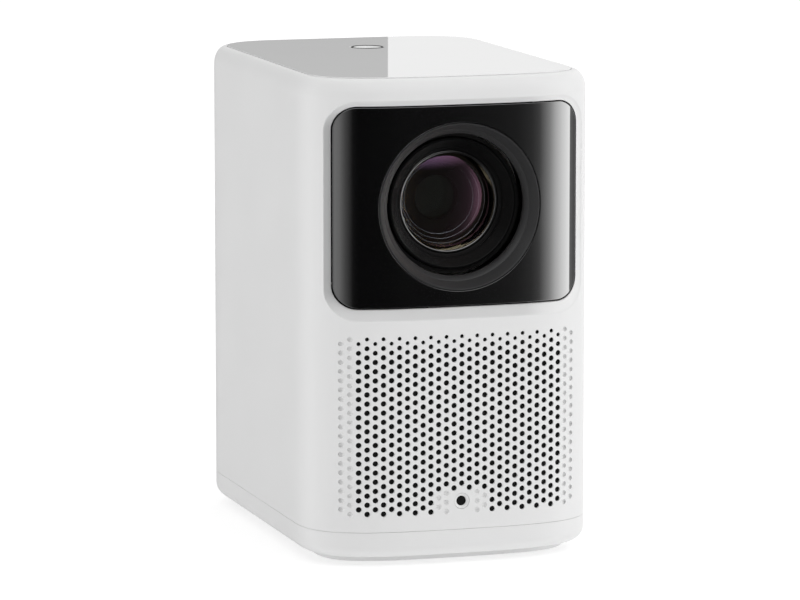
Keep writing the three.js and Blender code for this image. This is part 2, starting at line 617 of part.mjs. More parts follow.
add('engine_housing', 'blackMatte', engineHousing());
add('field_lens', 'clearGlass', enginePlate(0, 2));
add('lcd_panel', 'coatedGlass', enginePlate(6, 10));
add('collimator_lens', 'clearGlass', enginePlate(18, 20));
add('condenser_lens', 'clearGlass', condenserLens());
add('led_board', 'circuitWhite', ledBoard());
add('led_heatsink', 'aluminium', ledHeatsink());
add('fan_frame', 'blackMatte', fanFrame());
add('fan_rotor', 'blackMatte', fanRotor());

add('speaker_enclosure', 'blackMatte', speakerEnclosure());
eachSide((word, side) => {
  add(`speaker_frame_${word}`, 'steel', speakerFrame(side));
  add(`speaker_magnet_${word}`, 'steel', speakerMagnet(side));
  add(`speaker_cone_${word}`, 'paperCone', speakerCone(side));
});

add('inner_frame', 'aluminium', innerFrame());
add('main_board', 'circuitGreen', mainBoard());
add('processor_heatsink', 'aluminium', processorHeatsink());
add('power_board', 'circuitGreen', powerBoard());
add('transformer', 'windingTape', transformer());
add('bulk_capacitor', 'canSleeve', bulkCapacitor());
add('dust_filter', 'foam', dustFilter());
add('hdmi_socket', 'steel', socket(PORTS.hdmi, 0));
add('usb_socket', 'steel', socket(PORTS.usb, 1));
add('headphone_socket', 'blackMatte', audioJack());
add('mains_inlet', 'blackMatte', powerInlet());

add('sensor_bezel', 'blackMatte', sensorBezel());
add('camera_lens', 'coatedGlass', cameraLens());
add('camera_module', 'blackMatte', cameraModule());
add('power_button', 'whiteGloss', powerButton());
add('button_light_ring', 'blackMatte', buttonLightRing());
add('button_board', 'circuitGreen', buttonBoard());

export default projector;
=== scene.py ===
import math

import bpy
import numpy as np
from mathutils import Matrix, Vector
from mathutils.geometry import delaunay_2d_cdt


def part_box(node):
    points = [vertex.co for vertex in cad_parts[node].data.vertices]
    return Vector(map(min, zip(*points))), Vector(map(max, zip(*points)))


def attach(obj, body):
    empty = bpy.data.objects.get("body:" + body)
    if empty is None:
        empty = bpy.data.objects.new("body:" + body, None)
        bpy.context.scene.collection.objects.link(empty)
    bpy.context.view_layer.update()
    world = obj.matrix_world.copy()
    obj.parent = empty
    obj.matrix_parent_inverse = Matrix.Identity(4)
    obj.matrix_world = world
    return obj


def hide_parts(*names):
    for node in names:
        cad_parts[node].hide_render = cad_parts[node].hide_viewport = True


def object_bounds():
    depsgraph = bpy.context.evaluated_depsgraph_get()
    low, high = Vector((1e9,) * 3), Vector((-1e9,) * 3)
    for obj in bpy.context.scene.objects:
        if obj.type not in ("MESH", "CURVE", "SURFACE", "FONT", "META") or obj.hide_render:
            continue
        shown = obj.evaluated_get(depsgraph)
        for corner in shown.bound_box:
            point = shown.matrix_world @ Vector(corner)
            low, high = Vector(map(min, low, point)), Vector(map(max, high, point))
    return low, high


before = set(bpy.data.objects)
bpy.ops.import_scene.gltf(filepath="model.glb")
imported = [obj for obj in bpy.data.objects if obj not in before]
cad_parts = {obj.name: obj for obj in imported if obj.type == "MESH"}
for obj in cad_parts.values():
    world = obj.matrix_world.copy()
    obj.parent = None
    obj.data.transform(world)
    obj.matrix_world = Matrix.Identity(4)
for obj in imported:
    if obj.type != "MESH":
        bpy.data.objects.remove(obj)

cad_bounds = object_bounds()
MM = 0.001

# ---------------------------------------------------------------- sizes in millimetres
lowest, highest = (corner / MM for corner in cad_bounds)
HALF_WIDTH = highest.x
HALF_DEPTH = highest.y
HEIGHT = highest.z
INSET = 0.12                        # the visual skin stays this far inside the CAD box
WALL = 2.4
FRONT_CORNER = (54.0, 38.0, 3.4)    # reach in X, reach in Y, superellipse power
BACK_CORNER = (34.0, 34.0, 2.3)
FRONT_BULGE = 3.6
SEAM_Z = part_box("body_shell")[0].z / MM
SEAM_GAP = 0.1
SEAM_LIP = 0.08                     # small bevel on each side of the seam
TOP_ROUND = (5.5, 8.0)              # reach inwards, height
PLATE_INSET = (5.9, 7.3, 7.6)       # side, front, back
PLATE_THICKNESS = 2.5
PLATE_DROP = 0.18
RIM_DROP = 0.55                     # the casing's rim lies this far below the plate

WINDOW_LOW, WINDOW_HIGH = (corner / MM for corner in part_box("window_panel"))
WINDOW_RADIUS = 10.0
GLASS_RECESS = 1.3
GLASS_INSET = 0.35                  # the glass stays this far inside its opening
BEVEL = (3.1, 2.5, 5.2)             # side, top, bottom

HOLE_PITCH = 4.0
COLUMN_PITCH = HOLE_PITCH * math.sqrt(3) / 2
HOLE_TOP_Z = 99.5
HOLE_RADIUS = 1.25
HOLE_CHAMFER = 0.08
HOLE_DEPTH = 0.9                    # straight wall of a through hole
DIMPLE_DEPTH = 0.8                  # blind holes are this deep at most
GRILLE_WALL = 1.05                  # the wall is thinned behind the perforations
HOLE_STEPS = 16
OUTER_COLUMN = 15
OUTER_BLIND = 14                    # columns from here outwards are only dimpled

LENS_Z = (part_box("focus_tube")[0].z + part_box("focus_tube")[1].z) / 2 / MM
LENS_OPENING = 36.3
SENSOR_Z = (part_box("sensor_bezel")[0].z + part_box("sensor_bezel")[1].z) / 2 / MM

# ---------------------------------------------------------------- casing plan
# Stations run once around the casing, counter-clockwise seen from above, starting at the back
# of the right side. Each one knows its corner and its angle there, so that the same station
# can be asked for at any inset.
STATION_STEP = 0.5


def corner_stations(sign_x, sign_y, from_side):
    """Angles of one corner, evenly spaced along its arc, from the side to the end or back."""
    reach_x, reach_y, power = FRONT_CORNER if sign_y < 0 else BACK_CORNER
    dense = np.linspace(0, math.pi / 2, 6001)
    x = reach_x * np.cos(dense) ** (2 / power)
    y = reach_y * np.sin(dense) ** (2 / power)
    length = np.concatenate([[0], np.cumsum(np.hypot(np.diff(x), np.diff(y)))])
    count = int(length[-1] / STATION_STEP)
    angles = np.interp(np.linspace(0, length[-1], count), length, dense)
    if not from_side:
        angles = angles[::-1]
    return [(sign_x, sign_y, angle, 1.0) for angle in angles]


# Order: back right corner, back left, front left, the front's middle, front right.
front_middle = [(1, -1, math.pi / 2, slide) for slide in np.linspace(-1, 1, 23)[1:-1]]
STATIONS = (corner_stations(1, 1, True) + corner_stations(-1, 1, False)
            + corner_stations(-1, -1, True) + front_middle + corner_stations(1, -1, False))


def plan_points(side=0.0, front=None, back=None):
    """Outline corners at the given insets, one row per station."""
    front = side if front is None else front
    back = side if back is None else back
    sign_x, sign_y, angle, slide = (np.array(column) for column in zip(*STATIONS))
    at_front = sign_y < 0
    reach_x = np.where(at_front, FRONT_CORNER[0], BACK_CORNER[0])
    reach_y = np.where(at_front, FRONT_CORNER[1], BACK_CORNER[1])
    power = np.where(at_front, FRONT_CORNER[2], BACK_CORNER[2])
    inset = np.where(at_front, front, back)
    c = np.clip(np.cos(angle), 0, 1) ** (2 / power)
    s = np.clip(np.sin(angle), 0, 1) ** (2 / power)
    x = sign_x * slide * (HALF_WIDTH - reach_x + (reach_x - side) * c)
    y = sign_y * (HALF_DEPTH - reach_y + (reach_y - inset) * s)
    y = y + np.where(at_front, FRONT_BULGE * (x / HALF_WIDTH) ** 2, 0)
    return np.stack([x, y], 1)


def arc_lengths(points):
    closed = np.vstack([points, points[:1]])
    return np.concatenate([[0], np.cumsum(np.hypot(*np.diff(closed, axis=0).T))])


BASE_PLAN = plan_points()
ARC = arc_lengths(BASE_PLAN)
PERIMETER = ARC[-1]


def plan_at(arc, side=0.0, front=None, back=None):
    """Points of the plan at the given arc lengths (measured on the outermost outline)."""
    points = plan_points(side, front, back)
    closed = np.vstack([points, points[:1]])
    arc = np.mod(arc, PERIMETER)
    return np.stack([np.interp(arc, ARC, closed[:, 0]), np.interp(arc, ARC, closed[:, 1])], 1)


def plan_normal_at(arc):
    step = 0.6
    ahead, behind = plan_at(np.asarray(arc) + step), plan_at(np.asarray(arc) - step)
    tangent = ahead - behind
    tangent /= np.linalg.norm(tangent, axis=1)[:, None]
    return np.stack([tangent[:, 1], -tangent[:, 0]], 1)


def front_y(x, inset=0.0):
    """Depth of the front face at a width, drawn in by an inset."""
    reach_x, reach_y, power = FRONT_CORNER
    x = np.abs(np.asarray(x, float))
    across = np.clip((x - (HALF_WIDTH - reach_x)) / (reach_x - inset), 0, 1)
    corner = -(HALF_DEPTH - reach_y) - (reach_y - inset) * (1 - across ** power) ** (1 / power)
    return corner + FRONT_BULGE * (x / HALF_WIDTH) ** 2


front_half = np.arange(len(STATIONS))[(BASE_PLAN[:, 1] < -40)]
FRONT_X, FRONT_ARC = BASE_PLAN[front_half, 0], ARC[front_half]
FRONT_MIDDLE = float(np.interp(0, FRONT_X, FRONT_ARC))


def arc_of_x(x):
    """Arc length of the front point at a width."""
    return np.interp(x, FRONT_X, FRONT_ARC)


# ---------------------------------------------------------------- mesh helpers
class Skin:
    """Mesh under construction: points in millimetres, faces, and a normal for each face corner."""

    def __init__(self):
        self.points, self.faces, self.normals = [], [], []

    def add(self, points):
        first = len(self.points)
        self.points.extend(tuple(map(float, point)) for point in points)
        return list(range(first, len(self.points)))

    def face(self, corners, normals=None):
        self.faces.append(tuple(corners))
        self.normals.append(normals)

    def strip(self, loop_a, loop_b, normals_a=None, normals_b=None, closed=True):
        """Quads between two loops of equal length; normals_b is normals_a unless given."""
        count = len(loop_a)
        normals_b = normals_a if normals_b is None else normals_b
        for i in range(count if closed else count - 1):
            j = (i + 1) % count
            normals = None
            if normals_a is not None:
                normals = [normals_a[i], normals_a[j], normals_b[j], normals_b[i]]
            self.face([loop_a[i], loop_a[j], loop_b[j], loop_b[i]], normals)

    def build(self, name, material, body, smooth_angle=None):
        mesh = bpy.data.meshes.new(name)
        mesh.from_pydata([(x * MM, y * MM, z * MM) for x, y, z in self.points], [], self.faces)
        mesh.polygons.foreach_set("use_smooth", [True] * len(mesh.polygons))
        if smooth_angle is not None:
            mesh.set_sharp_from_angle(angle=math.radians(smooth_angle))
        elif any(given is not None for given in self.normals):
            flat = []
            for polygon, given in zip(mesh.polygons, self.normals):
                for k in range(polygon.loop_total):
                    flat.append(tuple(given[k]) if given is not None else (0.0, 0.0, 0.0))
            mesh.normals_split_custom_set(flat)
        mesh.update()
        piece = bpy.data.objects.new(name, mesh)
        bpy.context.scene.collection.objects.link(piece)
        mesh.materials.append(LOOKS[material])
        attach(piece, body)
        return piece


def unit(rows):
    rows = np.asarray(rows, float)
    return rows / np.maximum(np.linalg.norm(rows, axis=1), 1e-12)[:, None]


def xyz(x, y, z):
    """Rows of coordinates; a number stands for a whole column."""
    return np.stack(np.broadcast_arrays(x, y, z), 1)


def raised(xy, z):
    """Plan points at one height."""
    return np.column_stack([xy, np.full(len(xy), z)])


def planar_mesh(loops, extra=()):
    """Triangles of a flat region: the first loop is its rim, the others are holes.

    Returns all points (loops first, in order, then the extra points) and the faces.
    """
    points, edges, rims = [], [], []
    for loop in loops:
        first = len(points)
        points.extend(tuple(map(float, point)) for point in loop)
        edges.extend((first + i, first + (i + 1) % len(loop)) for i in range(len(loop)))
        rims.append(list(range(first, len(points))))
    points.extend(tuple(map(float, point)) for point in extra)
    vectors = [Vector(point) for point in points]
    out_points, _, faces, _, _, _ = delaunay_2d_cdt(vectors, edges, [], 0, 1e-5)
    if len(out_points) != len(points):
        raise ValueError(f"flat region gained points: {len(points)} -> {len(out_points)}")
    holes = [np.array(loop) for loop in loops[1:]]
    xy = np.array(points)
    rim = np.array(loops[0])
    middles = np.array([xy[list(face)].mean(0) for face in faces])
    keep = inside(middles, rim)
    for hole in holes:
        low, high = hole.min(0), hole.max(0)
        near = np.all((middles > low) & (middles < high), axis=1) & keep
        if near.any():
            index = np.where(near)[0]
            keep[index[inside(middles[index], hole)]] = False
    kept = []
    for use, face in zip(keep, faces):
        if use:
            a, b, c = (xy[i] for i in face)
            area = (b[0] - a[0]) * (c[1] - a[1]) - (b[1] - a[1]) * (c[0] - a[0])
            kept.append(tuple(face) if area > 0 else tuple(face)[::-1])
    return xy, kept, rims


def inside(points, polygon):
    """Which points lie in a closed polygon."""
    x, y = points[:, 0], points[:, 1]
    result = np.zeros(len(points), bool)
    x1, y1 = polygon[:, 0], polygon[:, 1]
    x2, y2 = np.roll(x1, -1), np.roll(y1, -1)
    for k in range(len(polygon)):
        crosses = (y1[k] > y) != (y2[k] > y)
        if crosses.any():
            at = x1[k] + (y - y1[k]) * (x2[k] - x1[k]) / ((y2[k] - y1[k]) or 1e-12)
            result ^= crosses & (x < at)
    return result


def rounded_loop(x0, z0, x1, z1, radius, steps=8, counts=(12, 12)):
    """Corners of a rounded rectangle, counter-clockwise, with points along its straights."""
    corners = [(x1 - radius, z1 - radius), (x0 + radius, z1 - radius),
               (x0 + radius, z0 + radius), (x1 - radius, z0 + radius)]
    lengths = [x1 - x0 - 2 * radius, z1 - z0 - 2 * radius] * 2
    loop = []
    for k, (cx, cz) in enumerate(corners):
        for i in range(steps + 1):
            angle = (k + i / steps) * math.pi / 2
            loop.append((cx + radius * math.cos(angle), cz + radius * math.sin(angle)))
        along = (-1, 0), (0, -1), (1, 0), (0, 1)
        count = counts[k % 2]
        px, pz = loop[-1]
        for i in range(1, count):
            loop.append((px + along[k][0] * lengths[k] * i / count,
                         pz + along[k][1] * lengths[k] * i / count))
    return loop


def ring_loop(radius, x=0.0, z=0.0, steps=HOLE_STEPS, turn=0.0):
    return [(x + radius * math.cos(turn + 2 * math.pi * i / steps),
             z + radius * math.sin(turn + 2 * math.pi * i / steps)) for i in range(steps)]


def turned(name, profile, material, body, x=0.0, z=LENS_Z, steps=96, smooth=28, front=None):
    """Turned piece about an axis along Y. The profile is a list of (radius, y); radius 0 closes
    an end to one point, and a y from on_panel() lies that far behind front(x)."""
    skin = Skin()
    rows = []
    for radius, y in profile:
        if radius == 0:
            rows.append(skin.add([(x, y, z)]))
            continue
        ring = []
        for i in range(steps):
            angle = 2 * math.pi * i / steps
            px = x + radius * math.cos(angle)
            depth = front(px) + y[0] if isinstance(y, tuple) else y
            ring.append((px, depth, z + radius * math.sin(angle)))
        rows.append(skin.add(ring))
    pairs = list(zip(rows, rows[1:]))
    if len(rows[0]) > 1:
        pairs.append((rows[-1], rows[0]))
    for a, b in pairs:
        if len(a) == len(b) == 1:
            continue
        for i in range(steps):
            j = (i + 1) % steps
            if len(a) == 1:
                skin.face([a[0], b[i], b[j]])
            elif len(b) == 1:
                skin.face([a[i], b[0], a[j]])
            else:
                skin.face([a[i], b[i], b[j], a[j]])
    piece = skin.build(name, material, body, smooth_angle=smooth)
    face_outwards(piece)
    return piece


def face_outwards(piece):
    """Turns a closed mesh's faces outwards by the sign of its volume."""
    mesh = piece.data
    mesh.calc_loop_triangles()
    co = np.array([v.co for v in mesh.vertices])
    tri = np.array([t.vertices for t in mesh.loop_triangles])
    volume = np.einsum("ij,ij->i", co[tri[:, 0]], np.cross(co[tri[:, 1]], co[tri[:, 2]])).sum()
    if volume < 0:
        mesh.flip_normals()


def slab(name, loops, z0, z1, material, body, round_top=0.0, round_bottom=0.0, smooth=40):
    """Flat plate between two heights from plan loops (rim first, then holes)."""
    skin = Skin()
    profile = [(round_bottom * (1 - math.sin(a)), z0 + round_bottom * (1 - math.cos(a)))
               for a in np.linspace(0, math.pi / 2, 4)] if round_bottom else [(0, z0)]
    profile += [(round_top * (1 - math.cos(a)), z1 - round_top * (1 - math.sin(a)))
                for a in np.linspace(0, math.pi / 2, 4)] if round_top else [(0, z1)]
    all_rows = []
    for k, loop in enumerate(loops):
        loop = np.array(loop, float)
        outward = loop_normals(loop) * (1 if k == 0 else -1)
        rows = [skin.add(raised(loop - outward * inset, z))
                for inset, z in profile]
        for lower, upper in zip(rows, rows[1:]):
            skin.strip(*((lower, upper) if k == 0 else (upper, lower)))
        all_rows.append(rows)
    for end, upward in ((-1, True), (0, False)):
        flat = [[skin.points[i][:2] for i in rows[end]] for rows in all_rows]
        index = [i for rows in all_rows for i in rows[end]]
        _, faces, _ = planar_mesh(flat)
        for face in faces:
            corners = [index[i] for i in face]
            skin.face(corners if upward else corners[::-1])
    return skin.build(name, material, body, smooth_angle=smooth)


def loop_normals(loop):
    """Outward directions at the points of a counter-clockwise loop."""
    tangent = unit(np.roll(loop, -1, 0) - np.roll(loop, 1, 0))
    return np.stack([tangent[:, 1], -tangent[:, 0]], 1)


# ---------------------------------------------------------------- materials
LOOKS = {}                          # every material of the object, by name


def new_material(name):
    material = bpy.data.materials.new(name)
    material.use_nodes = True
    return material, material.node_tree, material.node_tree.nodes["Principled BSDF"]


def node(tree, kind, *inputs, **settings):
    """New shader node. Each input is (socket, number, colour or the output that feeds it)."""
    made = tree.nodes.new("ShaderNode" + kind)
    for name, value in settings.items():
        setattr(made, name, value)
    for socket, value in inputs:
        if isinstance(value, bpy.types.NodeSocket):
            tree.links.new(value, made.inputs[socket])
        else:
            made.inputs[socket].default_value = value
    return made


def grain(tree, shader, scale, strength, distance=0.00004, kind="noise"):
    """Fine surface relief at a scale in cells per metre; returns the object coordinates."""
    place = node(tree, "TexCoord").outputs["Object"]
    if kind == "noise":
        height = node(tree, "TexNoise", ("Vector", place), ("Scale", scale), ("Detail", 3.0)).outputs["Fac"]
    else:
        height = node(tree, "TexVoronoi", ("Vector", place), ("Scale", scale)).outputs["Distance"]
    bump = node(tree, "Bump", ("Strength", strength), ("Distance", distance), ("Height", height))
    tree.links.new(bump.outputs["Normal"], shader.inputs["Normal"])
    return place


def varied(tree, shader, socket, low, high, scale, place):
    """Slow variation of one socket between two numbers or two colours."""
    cloud = node(tree, "TexNoise", ("Vector", place), ("Scale", scale), ("Detail", 2.0)).outputs["Fac"]
    start, end = 0.3, 0.7
    if isinstance(low, float):
        value = node(tree, "MapRange", ("Value", cloud), ("From Min", start), ("From Max", end),
                     ("To Min", low), ("To Max", high)).outputs["Result"]
    else:
        ramp = node(tree, "ValToRGB", ("Fac", cloud))
        for stop, colour, position in zip(ramp.color_ramp.elements, (low, high), (start, end)):
            stop.color, stop.position = (*colour, 1), position
        value = ramp.outputs["Color"]
    tree.links.new(value, shader.inputs[socket])


def plastic(name, colour, spread, roughness, grain_scale, grain_strength, ior=1.5, metallic=0.0,
            distance=0.00004, kind="noise"):
    material, tree, shader = new_material(name)
    LOOKS[name] = material
    shader.inputs["IOR"].default_value = ior
    shader.inputs["Metallic"].default_value = metallic
    place = grain(tree, shader, grain_scale, grain_strength, distance, kind)
    low = tuple(channel * (1 - spread) for channel in colour)
    high = tuple(min(channel * (1 + spread), 1) for channel in colour)
    varied(tree, shader, "Base Color", low, high, 22.0, place)
    varied(tree, shader, "Roughness", roughness * 0.94, min(roughness * 1.06, 1.0), 35.0, place)


WHITE = (0.80, 0.80, 0.80)
plastic("shell_white", WHITE, 0.006, 0.46, 5200, 0.10)
plastic("gloss_white", WHITE, 0.004, 0.012, 140, 0.0012)
plastic("button_white", (0.82, 0.82, 0.82), 0.004, 0.3, 4200, 0.06)
plastic("window_black", (0.0012, 0.0012, 0.0014), 0.2, 0.02, 60, 0.004, ior=2.6)
plastic("barrel_black", (0.005, 0.005, 0.0052), 0.08, 0.26, 5200, 0.012, ior=1.2)
plastic("polished_black", (0.004, 0.004, 0.0042), 0.08, 0.1, 900, 0.01, ior=3.0)
plastic("bezel_grey", (0.034, 0.034, 0.035), 0.05, 0.34, 4200, 0.06, ior=1.5)
plastic("lens_black", (0.006, 0.006, 0.006), 0.1, 0.28, 3200, 0.05)
plastic("black_plastic", (0.012, 0.012, 0.012), 0.15, 0.5, 4200, 0.2)
plastic("foot_rubber", (0.02, 0.02, 0.02), 0.15, 0.75, 2600, 0.3)
plastic("acoustic_cloth", (0.003, 0.003, 0.003), 0.3, 0.9, 2200, 0.8, kind="cells",
        distance=0.0001)
plastic("steel", (0.56, 0.56, 0.57), 0.06, 0.32, 1400, 0.08, metallic=1.0)
plastic("brass", (0.72, 0.53, 0.27), 0.05, 0.3, 1400, 0.08, metallic=1.0)
plastic("aluminium", (0.66, 0.67, 0.68), 0.05, 0.36, 1800, 0.10, metallic=1.0)
plastic("acetal_white", (0.72, 0.71, 0.67), 0.03, 0.4, 2600, 0.1)
plastic("ceramic_white", (0.75, 0.74, 0.70), 0.04, 0.6, 3000, 0.2)
plastic("cone_paper", (0.03, 0.03, 0.032), 0.2, 0.8, 900, 0.5, distance=0.0001)
plastic("board_green", (0.015, 0.085, 0.035), 0.2, 0.35, 900, 0.15)
plastic("winding_tape", (0.55, 0.36, 0.05), 0.1, 0.3, 800, 0.1)
plastic("can_sleeve", (0.02, 0.025, 0.07), 0.15, 0.25, 700, 0.05)
plastic("filter_foam", (0.05, 0.05, 0.055), 0.3, 0.95, 1500, 1.0, distance=0.0004,
        kind="cells")


def glass(name, tint, film):
    """Coated glass; the film's thickness is in nanometres."""
    material, tree, shader = new_material(name)
    LOOKS[name] = material
    for socket, value in (("Transmission Weight", 1.0), ("IOR", 1.52), ("Thin Film Thickness", film),
                          ("Thin Film IOR", 1.9)):
        shader.inputs[socket].default_value = value
    place = grain(tree, shader, 60, 0.0006)
    varied(tree, shader, "Base Color", tuple(channel * 0.98 for channel in tint), tint, 30.0, place)
    varied(tree, shader, "Roughness", 0.0, 0.006, 30.0, place)


glass("clear_glass", (0.97, 0.98, 0.98), 0.0)
glass("front_coating", (0.96, 0.93, 0.96), 140.0)
glass("inner_coating", (0.94, 0.96, 0.94), 209.0)
LOOKS["coated_glass"] = LOOKS["inner_coating"]


# ---------------------------------------------------------------- casing shell
def profile_position(arc, v):
    """Point and normal of the outer skin: v runs up the wall and over the rounded top edge."""
    reach, height = TOP_ROUND
    shoulder = TOP_Z - height
    over = np.clip((v - shoulder) / ROUND_LENGTH, 0, 1)
    angle = over * math.pi / 2
    inset = INSET + (reach - INSET) * (1 - np.cos(angle))
    z = np.where(v < shoulder, v, shoulder + height * np.sin(angle))
    low, high = plan_at(arc, 0.0), plan_at(arc, reach)
    share = (inset / reach)[:, None]
    xy = low * (1 - share) + high * share
    flat = plan_normal_at(arc)
    across, up = np.cos(angle) * height, np.sin(angle) * reach
    normal = unit(np.column_stack([flat * across[:, None], up]))
    return np.column_stack([xy, z]), normal


TOP_Z = HEIGHT - RIM_DROP
ROUND_LENGTH = 10.6                 # length of the rounded top edge's profile


def grille_holes():
    """Every perforation as (column, x, z, radius, depth); a shallow depth is a blind dimple."""
    holes = []
    for column in range(-OUTER_COLUMN, OUTER_COLUMN + 1):
        even = column % 2 == 0
        top = HOLE_TOP_Z if even else HOLE_TOP_Z - HOLE_PITCH / 2
        count = 20 if even else 19
        side = abs(column)
        dropped = {0: 3, 1: 2}.get(side, 0)
        faint = {2: 3, 3: 2}.get(side, 0)
        for row in range(count - dropped):
            radius = HOLE_RADIUS * {0: 0.72, 1: 0.9}.get(row, 1.0)
            depth = HOLE_DEPTH
            if side >= OUTER_BLIND or row >= count - faint:
                radius, depth = HOLE_RADIUS * 0.92, DIMPLE_DEPTH
            holes.append((column * COLUMN_PITCH, top - row * HOLE_PITCH, radius, depth))
    return holes


def build_casing():
    skin = Skin()
    seam = SEAM_Z
    top_v = TOP_Z - TOP_ROUND[1] + ROUND_LENGTH
    start = FRONT_MIDDLE - PERIMETER / 2

    # Arc positions of the vertical grid lines, closer together where the plan turns.
    def grid_arcs():
        dense = np.linspace(0, PERIMETER, 4001)
        normal = plan_normal_at(dense + start)
        turn = np.concatenate([[0], np.cumsum(np.linalg.norm(np.diff(normal, axis=0), axis=1))])
        effort = turn / math.radians(2.2) + dense / 9.0
        count = int(effort[-1])
        return np.interp(np.linspace(0, effort[-1], count + 1)[:-1], effort, dense) + start

    arcs = grid_arcs()
    holes = grille_holes()
    window_rim = bevel_loop(1.0, 0.45)
    rear_rim = rear_loop(0.0)
    sensor_rim = ring_loop(3.5, 0, SENSOR_Z, 40)

    # Flat layout: u is arc length from the middle of the front, v is height along the profile.
    def front_to_u(loop):
        loop = np.array(loop)
        return np.column_stack([arc_of_x(loop[:, 0]) - FRONT_MIDDLE, loop[:, 1]])

    hole_loops = [front_to_u(ring_loop(radius + HOLE_CHAMFER, x, z)) for x, z, radius, depth in holes]
    window_u, sensor_u = front_to_u(window_rim), front_to_u(sensor_rim)
    left, right = -PERIMETER / 2, PERIMETER / 2
    rows = np.concatenate([np.arange(seam + SEAM_LIP, TOP_Z - TOP_ROUND[1], 11.0),
                           TOP_Z - TOP_ROUND[1] + ROUND_LENGTH * np.linspace(0, 1, 9)])
    columns = arcs - FRONT_MIDDLE

    def back_to_u(loop):
        loop = np.array(loop)
        return np.column_stack([arc_of_back_x(loop[:, 0]) - FRONT_MIDDLE, loop[:, 1]])

    rear_u = back_to_u(rear_rim)
    rear_u[:, 0] = np.where(rear_u[:, 0] > 0, rear_u[:, 0], rear_u[:, 0] + PERIMETER)
    # The layout's joint line lies in the middle of a side, clear of every opening.
    shift = -PERIMETER / 4

    def wrap(u):
        return np.mod(u - shift, PERIMETER) + shift

    rear_u[:, 0] = wrap(rear_u[:, 0])
    columns = np.sort(wrap(columns))
    low_u, high_u = shift, shift + PERIMETER
    columns = columns[(columns > low_u + 0.5) & (columns < high_u - 0.5)]
    rim = [(u, rows[0]) for u in np.concatenate([[low_u], columns, [high_u]])]
    rim += [(high_u, v) for v in rows[1:-1]]
    rim += [(u, rows[-1]) for u in np.concatenate([[high_u], columns[::-1], [low_u]])]
    rim += [(low_u, v) for v in rows[1:-1][::-1]]
    grid = np.array([(u, v) for u in columns for v in rows[1:-1]])

    # Grid points that fall on an opening or too near a perforation are left out.
    def clear_of(loop, points, margin):
        loop = np.array(loop)
        centre = loop.mean(0)
        reach = np.maximum(np.linalg.norm(loop - centre, axis=1), 1)
        spread = centre + (loop - centre) * (1 + margin / reach)[:, None]
        return ~inside(points, spread)

    for loop, margin in [(window_u, 1.5), (rear_u, 1.5), (sensor_u, 1.5)]:
        grid = grid[clear_of(loop, grid, margin)]
    hole_x, hole_z = np.array(holes)[:, 0], np.array(holes)[:, 1]
    reach_u = arc_of_x(hole_x.max() + 3) - FRONT_MIDDLE
    level = (grid[:, 1] > hole_z.min() - 3) & (grid[:, 1] < hole_z.max() + 3)
    grid = grid[~((np.abs(grid[:, 0]) < reach_u) & level)]
    loops = [rim, window_u, rear_u, sensor_u] + hole_loops
    flat, faces, rims = planar_mesh(loops, grid)
    outer, outer_normal = profile_position(flat[:, 0] + FRONT_MIDDLE, flat[:, 1])

    # Front points keep their width when they go inwards, so that hole walls run straight back.
    def inwards(points, arc, depth):
        side_points = plan_at(arc, depth + INSET)
        base = plan_at(arc, 0.0)
        moved = points.copy()
        moved[:, :2] += side_points - base
        share = np.clip((62 - np.abs(points[:, 0])) / 8, 0, 1) * (points[:, 1] < -30)
        straight = points + np.array([0, depth, 0])
        return moved * (1 - share[:, None]) + straight * share[:, None]

    # Weld the joint line: points on its right edge are the same as those on its left edge.
    weld = {}
    for i, (u, v) in enumerate(flat[:len(rim)]):
        if abs(u - high_u) < 1e-6:
            weld[i] = next(j for j, (uu, vv) in enumerate(flat[:len(rim)])
                           if abs(uu - low_u) < 1e-6 and abs(vv - v) < 1e-6)
    index = {}
    kept_points = [i for i in range(len(flat)) if i not in weld]
    ids = skin.add(outer[kept_points])
    for i, new in zip(kept_points, ids):
        index[i] = new
    for i, j in weld.items():
        index[i] = index[j]
    for face in faces:
        skin.face([index[i] for i in face], [outer_normal[i] for i in face])

    # Inner skin, on the same layout.
    inner = inwards(outer, flat[:, 0] + FRONT_MIDDLE, WALL - 0.1)
    around_holes = [i for rim_ids in rims[4:] for i in rim_ids]
    thin = inwards(outer, flat[:, 0] + FRONT_MIDDLE, GRILLE_WALL)
    inner[around_holes] = thin[around_holes]
    inner[:, 2] = np.minimum(inner[:, 2], TOP_Z - PLATE_THICKNESS - 4.0)
    inner_ids = skin.add(inner[kept_points])
    inner_index = {i: new for i, new in zip(kept_points, inner_ids)}
    for i, j in weld.items():
        inner_index[i] = inner_index[j]
    for face in faces:
        skin.face([inner_index[i] for i in face][::-1], [-outer_normal[i] for i in face][::-1])

    # Perforations: chamfer, wall, then either the inner skin or a closed bottom.
    for (x, z, radius, depth), rim_ids in zip(holes, rims[4:]):
        mouth = [index[i] for i in rim_ids]
        inner_mouth = [inner_index[i] for i in rim_ids]
        circle = np.array(ring_loop(1.0))
        towards = xyz(-circle[:, 0], 0.0, -circle[:, 1])
        mouth_y = np.array([skin.points[i][1] for i in mouth])

        def ring(r, back):
            return skin.add(xyz(x + r * circle[:, 0], mouth_y + back, z + r * circle[:, 1]))

